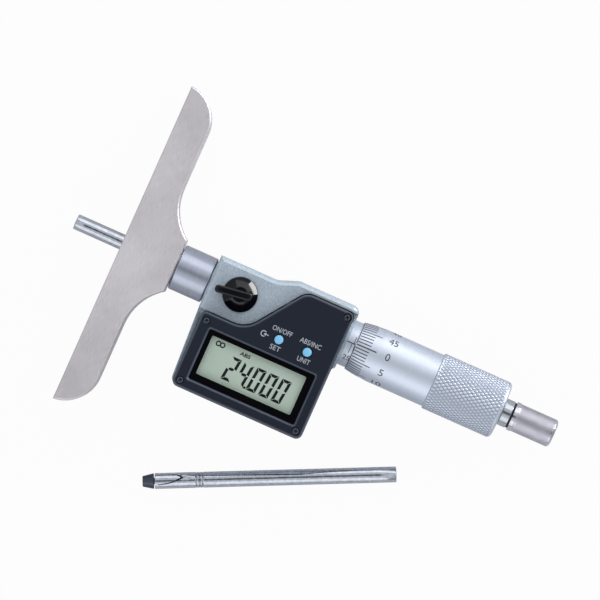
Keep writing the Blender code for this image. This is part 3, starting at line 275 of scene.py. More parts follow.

# %% [markdown]
# The floor of the recess around the display is printed black, darker than the moulding around
# it, and the moulding's rounded rim is painted lighter, a painted highlight. Both lie lower than
# the face, so height alone can tell them from it: one function mixes in another colour as the
# height falls.

# %% A tone that changes with height
def tinted_below(made, start, end, colour, shine=None):
    """Mixes in a colour, and perhaps another shine, as the height falls from start to end."""
    link = made.node_tree.links.new
    shader = made.node_tree.nodes["Principled BSDF"]
    own_colour = shader.inputs["Base Color"].links[0].from_socket
    place = add_node(made, "TexCoord")
    split = add_node(made, "SeparateXYZ")
    drop = add_node(made, "MapRange", From_Min=AXES[2] + start / 1000, From_Max=AXES[2] + end / 1000)
    link(place.outputs["Object"], split.inputs["Vector"])
    link(split.outputs["Z"], drop.inputs["Value"])
    mix = add_node(made, "Mix", data_type="RGBA", B=(*colour, 1))
    link(drop.outputs["Result"], mix.inputs["Factor"])
    link(own_colour, mix.inputs["A"])
    link(mix.outputs["Result"], shader.inputs["Base Color"])
    if shine is not None:
        specular = shader.inputs["Specular IOR Level"]
        gloss = add_node(made, "MapRange", To_Min=specular.default_value, To_Max=shine)
        link(drop.outputs["Result"], gloss.inputs["Value"])
        link(gloss.outputs["Result"], specular)


# %% [markdown]
# ## Round pieces
#
# The sleeve, the thimble, the rods and the ratchet are all turned on a lathe, so each of them is
# a profile carried around an axis. A lathe tool never leaves a perfectly sharp corner, and it is
# the small curve at each edge that catches the light, so the corners of a profile are softened
# before it is turned.

# %% Softened profiles and turned pieces
def softened(corners, radius, steps=4):
    """Each inner corner gives way to a curve between two points a radius before and after it.

    The curve is (1 - s) squared times the first, plus 2 s (1 - s) times the corner, plus s
    squared times the second, as s goes from 0 to 1. No curve takes more than half of a side.
    """
    corners = np.array(corners, dtype=float)
    middle = corners[1:-1]
    back, ahead = corners[:-2] - middle, corners[2:] - middle
    back_length = np.linalg.norm(back, axis=1, keepdims=True)
    ahead_length = np.linalg.norm(ahead, axis=1, keepdims=True)
    reach = np.minimum(radius, 0.5 * np.minimum(back_length, ahead_length))
    first, second = middle + back / back_length * reach, middle + ahead / ahead_length * reach
    s = np.linspace(0, 1, steps + 1)[None, :, None]
    curves = (1 - s) ** 2 * first[:, None] + 2 * s * (1 - s) * middle[:, None] + s ** 2 * second[:, None]
    return np.concatenate([corners[:1], curves.reshape(-1, 2), corners[-1:]])


def around_spindle(x, angle, radius):
    """Points from arrays of x, of the angle around the spindle axis and of the radius."""
    grid = np.broadcast_arrays(x, -radius * np.sin(angle), radius * np.cos(angle))
    return np.stack(grid, axis=-1).reshape(-1, 3)


def turned_piece(name, profile, body, finish, columns=96, closed=False, groove=None, moved=None, **rest):
    """A lathe-turned piece: a profile of (x, radius) carried around the spindle axis.

    The angle is measured from straight up towards -y, the way the numbers on the thimble grow.
    The piece is closed by the axis, or along its bore where closed is true. A groove takes x and
    the angle, and gives the depth to take off the radius there. Moved takes the points to where
    the piece lies, if that is not on the spindle axis.
    """
    x, radius = np.array(profile).T[:, :, None]
    angle = np.linspace(0, 2 * np.pi, columns, endpoint=False)[None, :]
    depth = groove(x, angle) * (radius > 0) if groove else 0
    radius = radius - depth
    points = around_spindle(x, angle, radius)
    if groove:
        rest["depth"] = depth / np.max(depth)
    return piece(name, moved(points) if moved else points,
                 grid_faces(len(profile), columns, closed=closed), body, finish, **rest)


def tube(bore, corners, radius):
    """A closed profile: softened outer corners of (x, radius), then straight back along the bore."""
    outer = [(corners[0][0], bore), *corners, (corners[-1][0], bore)]
    return softened(outer, radius)


# %% [markdown]
# ## Castings, mouldings and ground blocks
#
# Some solids already have exactly the right shape, such as the cast frame with its pockets. Each
# of them is copied, its loose triangles are merged into one skin, and a narrow bevel breaks the
# edges, because a real edge is never perfectly sharp and the bright line along it is what makes
# the piece look solid.

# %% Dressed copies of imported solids
CARRIER = {node: body for body, nodes in frame["record"]["behaviour"]["bodies"].items() for node in nodes}


def one_skin(mesh, flat=0.5):
    """Merges loose triangles, then joins those that lie in one plane to within an angle."""
    shape = bmesh.new()
    shape.from_mesh(mesh)
    bmesh.ops.remove_doubles(shape, verts=shape.verts, dist=MERGE)
    bmesh.ops.dissolve_limit(shape, angle_limit=math.radians(flat), verts=shape.verts, edges=shape.edges)
    shape.to_mesh(mesh)
    shape.free()


def dressed(node, finish, slot, edge, sharp=35):
    """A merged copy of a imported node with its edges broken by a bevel, standing for that node.

    Large faces keep their own normal, so that a flat face stays flat beside a rounded edge.
    """
    mesh = frame["nodes"][node].data.copy()
    mesh.name = node + "_skin"
    mesh.materials.clear()
    one_skin(mesh)
    tidy(mesh, sharp)
    made = linked(node + "_skin", mesh, finish, CARRIER[node], slot, [node])
    bevel = made.modifiers.new("broken_edges", "BEVEL")
    bevel.width = edge / 1000
    bevel.segments = 2
    bevel.limit_method = "ANGLE"
    bevel.angle_limit = math.radians(sharp)
    weighted = made.modifiers.new("flat_faces", "WEIGHTED_NORMAL")
    weighted.keep_sharp = True
    return made


def rounder_edges(made, full, small, chosen, rim):
    """Bevels the chosen sharp edges in full and the other sharp edges by a small share of that.

    The bevels take a finish of their own, a painted highlight that makes an edge lighter than a face.
    """
    mesh = made.data
    pairs = np.empty(len(mesh.edges) * 2, dtype=int)
    mesh.edges.foreach_get("vertices", pairs)
    points = np.empty(len(mesh.vertices) * 3)
    mesh.vertices.foreach_get("co", points)
    middles = (points.reshape(-1, 3)[pairs.reshape(-1, 2)].mean(axis=1) - AXES) * 1000
    sharp = np.empty(len(mesh.edges), dtype=bool)
    mesh.attributes["sharp_edge"].data.foreach_get("value", sharp)
    weights = sharp * np.where(chosen(*middles.T), 1.0, small / full)
    shares = mesh.attributes.new("bevel_weight_edge", "FLOAT", "EDGE")
    shares.data.foreach_set("value", weights.astype(np.float32))
    mesh.materials.append(rim)
    bevel = made.modifiers["broken_edges"]
    bevel.limit_method = "WEIGHT"
    bevel.width = full / 1000
    bevel.segments = 5
    bevel.material = 1


casting = dressed("frame_casting", enamel, "cast_frame", 0.35)
CASTING_FACE = span("frame_casting")[1][2]
BARREL_SIDE, HOUSING_LEFT = 6.0, 29.5


def outer_rim(x, y, z):
    """The upper edges that show beside the housing, on the barrel's far side and on its left."""
    return (z > CASTING_FACE - 0.1) & ((y > BARREL_SIDE) | (x < HOUSING_LEFT))


# All of the casting's bevels are painted near-white, a painted highlight along its edges.
rounder_edges(casting, 0.9, 0.5, outer_rim, enamel_rim_highlight)
dressed("front_housing", shell_plastic, "black_housing", 0.08)
HOUSING_FACE = span("front_housing")[1][2]
RECESS_FLOOR = HOUSING_FACE - 0.6
# Painted highlight: the housing's rounded rim, just below its face, is painted a lighter blue-grey.
tinted_below(shell_plastic, HOUSING_FACE - 0.04, HOUSING_FACE - 0.2, (0.075, 0.09, 0.13))
tinted_below(shell_plastic, RECESS_FLOOR, RECESS_FLOOR - 0.1, (0.001, 0.001, 0.002), shine=0.06)
for node, metal, slot, edge in (("measuring_base", ground_steel, "base_steel", 0.12),
                                ("neck_sleeve", neck_chrome, "satin_chrome", 0.1),
                                ("spindle", polished_steel, "bright_steel", 0.1),
                                ("battery_cap", satin_chrome, "satin_chrome", 0.1)):
    dressed(node, metal, slot, edge)
print("dressed copies made")

# %% [markdown]
# ## The graduated sleeve
#
# The sleeve is a plain chromed tube that the thimble winds over. Most of it hides inside the
# thimble, and only shows when the spindle is wound out.

# %% Sleeve
sleeve_low, sleeve_high = span("graduated_sleeve")
SLEEVE_RADIUS = sleeve_high[2]
SLEEVE_WALL = 0.6
sleeve_profile = tube(SLEEVE_RADIUS - SLEEVE_WALL,
                      [(sleeve_low[0], SLEEVE_RADIUS), (sleeve_high[0], SLEEVE_RADIUS)], 0.15)
turned_piece("graduated_tube", sleeve_profile, "gauge", satin_chrome, closed=True,
             slot="satin_chrome", stands_for=["graduated_sleeve"])
print("sleeve from", np.round(sleeve_low[0], 2), "to", np.round(sleeve_high[0], 2))

# %% [markdown]
# ## The thimble and its knurl
#
# The thimble's grip is a diamond knurl, rolled in by two sets of slanting ridges that cross. A
# ridge of one set is a wave in the angle plus the distance along, and one of the other set is a
# wave in the angle minus it. The metal stands only as high as the lower of the two waves, which
# leaves rows of small flat-topped diamonds. The grid has a fixed number of columns to each
# ridge, so the grooves fall on its lines and stay crisp.

# %% Thimble
thimble_low, thimble_high = span("thimble")
EDGE, END = thimble_low[0], thimble_high[0]
GRIP_RADIUS = thimble_high[2]
GRIP_START, GRIP_RISE, END_ROUND = 101.2, 0.3, 1.3
KNURL_RIDGES, KNURL_PITCH, KNURL_DEPTH, KNURL_STEEPNESS = 48, 1.96, 0.26, 1.5
RIDGE_COLUMNS = 8
BORE, STUB_HOLE, SPINDLE_SEAT = 7.4, 2.5, 4.3
FACE_START, SEAT_START = END - 2.2, END - 6.8
NOSE = [(0, 7.5), (1.7, 7.8), (3.2, 8.0), (7.4, 8.32)]


def knurl(x, angle):
    """Depth of the crossed grooves: deepest where either wave is lowest, none outside the grip.

    Each wave runs from 0 in its groove to 1 on its ridge, and a flat top takes its upper part.
    """
    along, round_ = (x - GRIP_START) / KNURL_PITCH, KNURL_RIDGES * angle / (2 * np.pi)
    ridges = [2 * np.abs((phase + 0.5) % 1 - 0.5) for phase in (round_ + along, round_ - along)]
    height = np.clip(np.minimum(*ridges) * KNURL_STEEPNESS, 0, 1)
    ends = np.clip((x - GRIP_START - GRIP_RISE) / 0.3, 0, 1) * np.clip((END - 0.5 - x) / 0.8, 0, 1)
    return KNURL_DEPTH * (1 - height) * ends


grip_rows = np.arange(GRIP_START + GRIP_RISE, END - END_ROUND, KNURL_PITCH / RIDGE_COLUMNS)
round_off = np.linspace(0, np.pi / 2, 6)
grip_end = np.stack([END - END_ROUND + END_ROUND * np.sin(round_off),
                     GRIP_RADIUS - END_ROUND + END_ROUND * np.cos(round_off)], axis=-1)
front_part = softened([(EDGE, BORE)] + [(EDGE + x, r) for x, r in NOSE]
                      + [(GRIP_START, NOSE[-1][1]), (GRIP_START + 0.12, GRIP_RADIUS - 0.1),
                         (GRIP_START + GRIP_RISE, GRIP_RADIUS)], 0.2)
back_part = np.array([(END, STUB_HOLE), (FACE_START, STUB_HOLE), (FACE_START, SPINDLE_SEAT),
                      (SEAT_START, SPINDLE_SEAT), (SEAT_START, BORE)])
thimble_profile = np.concatenate([front_part, np.stack([grip_rows, np.full_like(grip_rows, GRIP_RADIUS)],
                                                       axis=-1), grip_end, back_part])
# The knurl's grooves are darkened by their depth, a painted shade.
knurled_chrome = finish("knurled_chrome", (0.64, 0.69, 0.79), (0.72, 0.77, 0.87), (0.4, 0.5), 1.0,
                        grain=(0.08, 3, 3), relief=0.0002, groove=(0.3, 0.33, 0.4))
turned_piece("thimble_shell", thimble_profile, "spindle_and_thimble", knurled_chrome,
             columns=KNURL_RIDGES * RIDGE_COLUMNS, closed=True, groove=knurl, slot="satin_chrome",
             stands_for=["thimble"], sharp=50)
print(len(grip_rows), "rows of knurl")

# %% [markdown]
# ## Engraved marks
#
# The scale lines are cut into the metal and filled with dark paint. Each one is a thin closed
# strip that lies on the surface and follows its radius, so it needs no picture. All the strips
# of a scale are worked out together as one array.

# %% Strips on a round surface
INK_HEIGHT = 0.02
INK_DEPTH = 0.03
STRIP_LEVELS = np.array([-INK_DEPTH, INK_HEIGHT, INK_HEIGHT, -INK_DEPTH])
STRIP_SIDES = np.array([-0.5, -0.5, 0.5, 0.5])


def closed_strips(name, x, angle, surface, body):
    """Closed strips with four corners in every row, from x, the angle and the surface's radius."""
    x, angle, radius = np.broadcast_arrays(x, angle, surface + STRIP_LEVELS)
    count, rows = x.shape[:2]
    points = around_spindle(x, angle, radius)
    one = np.concatenate([grid_faces(rows, 4), [[0, 1, 2, 3]], (rows - 1) * 4 + np.array([[3, 2, 1, 0]])])
    faces = (one[None] + (np.arange(count) * rows * 4)[:, None, None]).reshape(-1, 4)
    return piece(name, points, faces, body, ink_and_edge_shadow, sharp=30)


def strips(name, starts, ends, angles, widths, profile, body, rows=6):
    """Strips along x on a turned surface, whose radius is read from its profile at each x.

    The angle of a corner is the mark's angle plus or minus half its width over that radius.
    """
    starts, ends, angles, widths = np.broadcast_arrays(starts, ends, angles, widths)
    t = np.linspace(0, 1, rows)[None, :, None]
    x = starts[:, None, None] + (ends - starts)[:, None, None] * t
    surface = np.interp(x, *np.array(profile).T)
    angle = angles[:, None, None] + widths[:, None, None] * STRIP_SIDES / surface
    return closed_strips(name, x, angle, surface, body)


def ring_marks(name, places, first, last, width, profile, body, columns=8):
    """Strips across x on a turned surface: each spans the angles from first to last."""
    places, first, last = np.broadcast_arrays(places, first, last)
    t = np.linspace(0, 1, columns)[None, :, None]
    angle = first[:, None, None] + (last - first)[:, None, None] * t
    x = places[:, None, None] + width * STRIP_SIDES
    return closed_strips(name, x, angle, np.interp(x, *np.array(profile).T), body)


thimble_surface = [(EDGE + x, r) for x, r in NOSE] + [(GRIP_START, NOSE[-1][1])]
sleeve_surface = [(sleeve_low[0], SLEEVE_RADIUS), (sleeve_high[0], SLEEVE_RADIUS)]
DIVISIONS = 50
MARK_START, SHORT_END, LONG_END = 0.4, 4.6, 6.65
ZERO_TURN = math.radians(-5.4)
division = np.arange(DIVISIONS)
division_angles = ZERO_TURN + 2 * np.pi * division / DIVISIONS
strips("thimble_divisions", np.full(DIVISIONS, EDGE + MARK_START),
       EDGE + np.where(division % 5 == 0, LONG_END, SHORT_END), division_angles,
       np.where(division == 0, 0.36, 0.29), thimble_surface, "spindle_and_thimble")
print(DIVISIONS, "divisions of", 360 / DIVISIONS, "degrees")

# %% [markdown]
# ## Lettering
#
# Numbers and words start as Blender text, which is turned into a mesh at once. Its vertices are
# then plain numbers that can be laid on a flat face or wrapped around a cylinder. The letters
# are cut into smaller triangles first where they wrap, so that they follow the curve instead of
# cutting across it.

# %% Letters on flat and round surfaces
LETTER_DEPTH = 0.03


def letter_mesh(text, height, width=None, cuts=0, bold=0.0):
    """Text of a given height and width centred on the origin, as points in millimetres and triangles.

    Without a width the letters keep the font's own proportions. Bold thickens the strokes.
    """

    curve = bpy.data.curves.new("letters", "FONT")
    curve.body, curve.align_x, curve.align_y = text, "CENTER", "CENTER"
    curve.resolution_u = 3
    curve.extrude = 1.0
    curve.offset = bold
    holder = bpy.data.objects.new("letters", curve)
    bpy.context.scene.collection.objects.link(holder)
    mesh = bpy.data.meshes.new_from_object(holder.evaluated_get(bpy.context.evaluated_depsgraph_get()))
    bpy.data.objects.remove(holder)
    shape = bmesh.new()
    shape.from_mesh(mesh)
    bmesh.ops.remove_doubles(shape, verts=shape.verts, dist=1e-5)
    bmesh.ops.triangulate(shape, faces=shape.faces)
    if cuts:
        bmesh.ops.subdivide_edges(shape, edges=shape.edges, cuts=cuts, use_grid_fill=True)
        bmesh.ops.triangulate(shape, faces=shape.faces)
    shape.to_mesh(mesh)
    shape.free()
    points = np.empty(len(mesh.vertices) * 3)
    mesh.vertices.foreach_get("co", points)
    faces = np.empty(len(mesh.polygons) * 3, dtype=int)
    mesh.polygons.foreach_get("vertices", faces)
    bpy.data.meshes.remove(mesh)
    points = points.reshape(-1, 3)
    low, high = points.min(axis=0), points.max(axis=0)
    scale = height / (high - low)[1]
    points[:, :2] -= (low + high)[:2] / 2
    points[:, :2] *= (width / (high - low)[0] if width else scale, scale)
    return points, faces.reshape(-1, 3)


def flat_letters(name, text, height, width, place, finish, bold):
    """Letters lying face up on a flat face at place (x, y, z), sunk by their own depth."""
    points, faces = letter_mesh(text, height, width, bold=bold)
    points[:, 2] = np.where(points[:, 2] > 0, INK_HEIGHT, -LETTER_DEPTH)
    return piece(name, points + np.array(place), faces, "gauge", finish)


def round_letters(name, text, height, width, x, angle, profile, body):
    """Letters wrapped on a turned surface, reading along x, their tops towards smaller angles."""
    points, faces = letter_mesh(text, height, width, cuts=2)
    along = x + points[:, 0]
    surface = np.interp(along, *np.array(profile).T)
    radius = surface + np.where(points[:, 2] > 0, INK_HEIGHT, -LETTER_DEPTH)
    return piece(name, around_spindle(along, angle - points[:, 1] / surface, radius), faces, body, ink_and_edge_shadow)


LETTER_GAP = 0.1
THIMBLE_DIGIT_HEIGHT, THIMBLE_DIGIT_PITCH, THIMBLE_DIGIT_X = 2.3, 1.5, EDGE + 10.3
for number in range(0, DIVISIONS, 5):
    round_letters(f"thimble_number_{number}", str(number), THIMBLE_DIGIT_HEIGHT,
                  THIMBLE_DIGIT_PITCH * len(str(number)) - LETTER_GAP, THIMBLE_DIGIT_X,
                  ZERO_TURN + 2 * np.pi * number / DIVISIONS, thimble_surface, "spindle_and_thimble")
print("ten numbers on the thimble")

# %% [markdown]
# The sleeve carries the datum line along its top, a millimetre scale below it and the half
# millimetres above it, with a number at every fifth. As on a real depth gauge the numbers grow
# towards the base, so the largest one is next to the thimble when the spindle is wound in.

# %% Sleeve scale
READING = 24.0  # millimetres that the gauge shows in the photograph
SCALE_ZERO, SCALE_LENGTH = EDGE + READING, 25
LINE_ANGLE = math.radians(-3)
millimetre = np.arange(SCALE_LENGTH + 1)
LINE_WIDTH, SLEEVE_MARK = 0.3, 0.2
FIRST_ANGLE, SHORT_ANGLE, LONG_ANGLE, HALF_ANGLE, NUMBER_ANGLE = 0.02, 0.3, 0.44, 0.32, 0.69
SLEEVE_DIGIT_HEIGHT, SLEEVE_DIGIT_PITCH = 1.8, 1.15
strips("datum_line", np.array([sleeve_low[0] + 0.1]), np.array([sleeve_high[0] - 1]), LINE_ANGLE,
       LINE_WIDTH, sleeve_surface, "gauge")
ring_marks("sleeve_millimetres", SCALE_ZERO - millimetre, LINE_ANGLE + FIRST_ANGLE,
           LINE_ANGLE + np.where(millimetre % 5 == 0, LONG_ANGLE, SHORT_ANGLE), SLEEVE_MARK,
           sleeve_surface, "gauge")
ring_marks("sleeve_half_millimetres", SCALE_ZERO - millimetre[:-1] - 0.5, LINE_ANGLE - HALF_ANGLE,
           LINE_ANGLE - FIRST_ANGLE, SLEEVE_MARK, sleeve_surface, "gauge")
for number in range(0, SCALE_LENGTH + 1, 5):
    round_letters(f"sleeve_number_{number}", str(number), SLEEVE_DIGIT_HEIGHT,
                  SLEEVE_DIGIT_PITCH * len(str(number)) - LETTER_GAP, SCALE_ZERO - number,
                  LINE_ANGLE + NUMBER_ANGLE, sleeve_surface, "gauge")
print(len(millimetre), "millimetre marks")

# %% [markdown]
# A fine dark line all round the thimble's edge is a painted shadow, standing for the dark gap
# between the thimble and the sleeve. It is nearly a whole turn of the same strip, since a strip
# has two ends.

# %% Edge line
EDGE_SHADOW_WIDTH = 0.22
EDGE_COLUMNS = 49
ring_marks("thimble_edge_shadow", np.array([EDGE + EDGE_SHADOW_WIDTH / 2 + 0.03]), 0.0,
           2 * np.pi * (EDGE_COLUMNS - 1) / EDGE_COLUMNS, EDGE_SHADOW_WIDTH, thimble_surface,
           "spindle_and_thimble", columns=EDGE_COLUMNS)
print("edge line over", EDGE_COLUMNS - 1, "of", EDGE_COLUMNS, "parts of a turn")

# %% [markdown]
# ## The ratchet
#
# The knob at the end is what the fingers turn. Its straight knurl is a wave around the axis
# alone, which fades out at the plain collar and at the rounded end.

# %% Ratchet knob
knob_low, knob_high = span("ratchet_knob")
KNOB_TEETH, TOOTH_COLUMNS, TOOTH_DEPTH = 60, 6, 0.05
KNOB_START, KNOB_END = knob_low[0], knob_high[0]
COLLAR_RADIUS, COLLAR_LENGTH, KNOB_RADIUS = knob_high[2], 1.2, 4.33
KNOB_WELL, SCREW_WELL, SCREW_HOLE = 3.6, 2.5, 1.5
SCREW_SEAT, WELL_END = KNOB_END - 1.5, KNOB_END - 3.8


def straight_teeth(x, angle):
    """Depth of lengthwise grooves: one wave for each tooth around the axis, none at the ends."""
    wave = (0.5 + 0.5 * np.cos(KNOB_TEETH * angle)) ** 3
    ends = np.clip((x - KNOB_START - 1.5) / 0.3, 0, 1) * np.clip((KNOB_END - 0.9 - x) / 0.4, 0, 1)
    return TOOTH_DEPTH * wave * ends


knob_steps = [(KNOB_START, COLLAR_RADIUS), (KNOB_START + COLLAR_LENGTH, COLLAR_RADIUS),
              (KNOB_START + 1.35, KNOB_RADIUS), (KNOB_START + 1.9, KNOB_RADIUS),
              (KNOB_END - 1.4, KNOB_RADIUS), (KNOB_END - 1.0, KNOB_RADIUS), (KNOB_END - 0.7, KNOB_RADIUS),
              (KNOB_END - 0.2, KNOB_RADIUS - 0.45), (KNOB_END, KNOB_RADIUS - 1.1), (KNOB_END, SCREW_WELL),
              (SCREW_SEAT, SCREW_WELL), (SCREW_SEAT, SCREW_HOLE), (WELL_END, SCREW_HOLE),
              (WELL_END, KNOB_WELL), (KNOB_START, KNOB_WELL)]
# The grooves between the teeth are darkened by their depth, a painted shade.
knob_steel = finish("knob_steel", (0.58, 0.57, 0.63), (0.68, 0.67, 0.73), (0.14, 0.2), 1.0,
                    grain=(2, 2, 2), groove=(0.3, 0.29, 0.34))
turned_piece("ratchet_grip", softened(knob_steps, 0.12), "ratchet", knob_steel,
             columns=KNOB_TEETH * TOOTH_COLUMNS, closed=True, groove=straight_teeth,
             slot="bright_steel", stands_for=["ratchet_knob"], sharp=50)
WASHER_GAP, WASHER_RADIUS, WASHER_BORE = 0.05, 3.95, 2.3
stub_end = KNOB_START - 0.6
turned_piece("ratchet_washer", tube(WASHER_BORE, [(stub_end + WASHER_GAP, WASHER_RADIUS),
                                                  (KNOB_START - WASHER_GAP, WASHER_RADIUS)], 0.1),
             "ratchet", seal_rubber, closed=True, slot="seal_rubber")
print(KNOB_TEETH, "teeth around the knob")

# %% [markdown]
# ## Rods
#
# A measuring rod is a polished bar with a dark hardened cone at its seated end. Three fine rings
# mark it near the cone, and a saw cut shaped like a pen's nib makes its seat springy. The bar is
# turned like the other round pieces, and the cuts are taken off its radius: how deep a point
# lies follows from its place along the rod and its height on it, as seen from above.

# %% Rods
ROD_RADIUS, CONE_LENGTH, SEAM = 2.375, 3.4, 0.3
WELL_RADIUS, WELL_DEPTH = 1.2, 3.3
RINGS, RING_WIDTH, RING_DEPTH = np.array([16.2, 17.15, 18.1]), 0.4, 0.15
SLIT_START, SLIT_END, SLIT_DEPTH = 4.6, 11.9, 0.4
SCOOP_LENGTH, SCOOP_MIDDLE, SCOOP_HALF, SCOOP_DEPTH = 2.8, 0.9, 0.9, 0.25
CUT_ROWS_END, CUT_ROW = 18.9, 0.1
SPARE_X, SPARE_Y, SPARE_TURN, SPARE_LENGTH = 34.2, -63.1, math.radians(25.6), 76.1
TIP_END = span("measuring_rod_tip")[1][0]
# The rings, the saw cut and the scoop are darkened by their depth almost to black, a painted shade.
rod_steel = finish("rod_steel", (0.46, 0.48, 0.54), (0.62, 0.64, 0.7), (0.14, 0.2), 1.0,
                   grain=(1.2, 1.2, 1.2), relief=0.0002, detail=2, groove=(0.02, 0.024, 0.032))


def rod_cuts(x, angle):
    """Depth of the rings, of the saw cut near the cone, and of the scoop where the cut ends.

    A ring is cut where x is within half its width. The saw cut has a near side that starts low
    and rises as the square of the way along, and a far side that starts high and falls as its
    sixth power. A point is cut where its height y is within a half width of either side.
    """
    ring = np.max(np.clip((RING_WIDTH / 2 - np.abs(x[..., None] - RINGS)) / 0.06 + 0.5, 0, 1), axis=-1)
    way = np.clip((x - SLIT_START) / (SLIT_END - SLIT_START), 0, 1)
    y, top = -ROD_RADIUS * np.sin(angle), np.cos(angle) > 0
    near, far = -1.07 + 2.0 * way ** 2, 2.1 - 1.17 * way ** 6
    half = 0.06 + 0.16 * way
    cut = np.maximum(half - np.abs(y - near), half - np.abs(y - far)) / 0.08 + 0.5
    inside = (x > SLIT_START) & (x < SLIT_END + 0.25) & top
    along = np.clip(1 - (x - SLIT_END) / SCOOP_LENGTH, 0, 1) * (x > SLIT_END)
    across = np.clip(1 - np.abs(y - SCOOP_MIDDLE) / SCOOP_HALF, 0, 1)
    deepest = np.maximum(RING_DEPTH * ring, SLIT_DEPTH * np.clip(cut, 0, 1) * inside)
    return np.maximum(deepest, SCOOP_DEPTH * along * across * top)


def rod_profile(length):
    """A rod along x from the well behind its cone to its flat end, with close rows where it is cut."""
    start = CONE_LENGTH + SEAM
    rows = np.concatenate([[start + CUT_ROW], np.arange(start + 2 * CUT_ROW, CUT_ROWS_END, CUT_ROW),
                           np.linspace(CUT_ROWS_END + CUT_ROW, length - 0.2, 12)])
    well = [(start + WELL_DEPTH, 0), (start + WELL_DEPTH, WELL_RADIUS), (start, WELL_RADIUS),
            (start, ROD_RADIUS - 0.1)]
    sides = np.stack([rows, np.full_like(rows, ROD_RADIUS)], axis=-1)
    return np.concatenate([well, sides, [(length, ROD_RADIUS - 0.2), (length, 0)]])


def spare_place(points):
    """Turns the spare rod about the vertical and carries it to where it lies on the floor."""
    return swung(points, SPARE_TURN) + (SPARE_X, SPARE_Y, FLOOR + ROD_RADIUS)


def fitted_place(points):
    """Turns the fitted rod end for end about the vertical, with its cone inside the spindle."""
    return points * (-1, -1, 1) + (TIP_END, 0, 0)


for name, length, moved, body, node in (
        ("spare", SPARE_LENGTH, spare_place, "gauge", "spare_rod"),
        ("fitted", TIP_END - span("measuring_rod")[0][0], fitted_place, "fitted_rod", "measuring_rod")):
    turned_piece(f"{name}_bar", rod_profile(length), body, rod_steel, columns=160, groove=rod_cuts,
                 moved=moved, slot="bright_steel", stands_for=[node], sharp=50)
for node in ("spare_rod_tip", "measuring_rod_tip"):
    dressed(node, blued_steel, "dark_steel", 0.15)
dressed("ratchet_body", polished_steel, "bright_steel", 0.1)
print("rods dressed")

# %% [markdown]
# ## The lock
#
# The lock is one moulding: a domed disc with a bar across it. The disc is turned about the
# vertical, so it is a profile in height and radius carried around that axis.

# %% Lock
lock_low, lock_high = span("lock_lever")
screw_low, screw_high = span("lock_screw")
LOCK_X = (screw_low[0] + screw_high[0]) / 2
LOCK_FOOT, LOCK_RADIUS = lock_low[2], 5.3
LOCK_TURN = math.radians(188.5)
SOCKET_RADIUS, SOCKET_HEIGHT, RIM_HEIGHT, CROWN_RADIUS, CROWN_HEIGHT = 2.5, 1.4, 0.6, 2.4, 3.05
BAR_REACH, BAR_TAIL, BAR_HALF, BAR_ROUND, BAR_EDGE = 7.7, 3.7, 1.2, 1.08, 0.5
BAR_FOOT, BAR_TOP = 1.4, lock_high[2] - lock_low[2]


def upright(name, profile, middle, body, finish, columns=96, closed=False, **rest):
    """A profile of (radius, height) carried around a vertical axis, from pole to pole or closed."""
    radius, height = np.array(profile).T[:, :, None]
    angle = np.linspace(0, 2 * np.pi, columns, endpoint=False)[None, :]
    grid = np.broadcast_arrays(middle[0] + radius * np.cos(angle), middle[1] + radius * np.sin(angle), height)
    faces = grid_faces(len(profile), columns, closed=closed)
    return piece(name, np.stack(grid, axis=-1).reshape(-1, 3), faces, body, finish, **rest)


disc = softened([(0, SOCKET_HEIGHT), (SOCKET_RADIUS, SOCKET_HEIGHT), (SOCKET_RADIUS, 0), (LOCK_RADIUS, 0),
                 (LOCK_RADIUS, RIM_HEIGHT), (CROWN_RADIUS, CROWN_HEIGHT), (0, CROWN_HEIGHT)], 0.2)
disc[:, 1] += LOCK_FOOT
upright("lock_disc", disc, (LOCK_X, 0), "lock", knob_plastic, slot="black_gloss", stands_for=["lock_lever"])


def softened_plate(outline, low, high, edge, steps=4):
    """An outline carried up and drawn in at the top by a quarter circle of the edge's size.

    Each corner of the outline moves along the mean of its two sides' normals.
    """
    outline = np.array(outline, dtype=float)
    side = np.roll(outline, -1, axis=0) - outline
    normal = np.stack([side[:, 1], -side[:, 0]], axis=-1) / np.linalg.norm(side, axis=1, keepdims=True)
    corner = normal + np.roll(normal, 1, axis=0)
    corner /= np.maximum(1e-9, (corner * normal).sum(axis=1, keepdims=True))
    turn = np.linspace(0, np.pi / 2, steps + 1)
    draw = np.concatenate([[0], edge * (1 - np.cos(turn))])
    height = np.concatenate([[low], high - edge + edge * np.sin(turn)])
    rings = outline[None] - corner[None] * draw[:, None, None]
    heights = np.broadcast_to(height[:, None, None], (*rings.shape[:2], 1))
    middle = outline.mean(axis=0)
    poles = np.broadcast_to(middle, (1, *outline.shape))
    grid = np.concatenate([
        np.concatenate([poles, np.full((1, len(outline), 1), low)], axis=-1),
        np.concatenate([rings, heights], axis=-1),
        np.concatenate([poles, np.full((1, len(outline), 1), high)], axis=-1)])
    return grid.reshape(-1, 3), grid_faces(len(grid), len(outline))


def stadium(back, front, half, round_, count=8):
    """An upright bar's outline: a rectangle whose four corners are quarter circles."""
    t = np.linspace(0, np.pi / 2, count)
    quarter = round_ * np.stack([np.cos(t), np.sin(t)], axis=-1)
    spin = np.array([[0, -1], [1, 0]])
    centres = [(front - round_, half - round_), (back + round_, half - round_),
               (back + round_, -half + round_), (front - round_, -half + round_)]
    return np.concatenate([quarter @ np.linalg.matrix_power(spin, k).T + centre
                           for k, centre in enumerate(centres)])


bar_points, bar_faces = softened_plate(stadium(-BAR_TAIL, BAR_REACH, BAR_HALF, BAR_ROUND),
                                       BAR_FOOT, BAR_TOP, BAR_EDGE)
piece("lock_bar", swung(bar_points, LOCK_TURN) + (LOCK_X, 0, LOCK_FOOT), bar_faces, "lock", knob_plastic,
      slot="black_gloss")
print("lock at x", LOCK_X, "foot", round(LOCK_FOOT, 2))

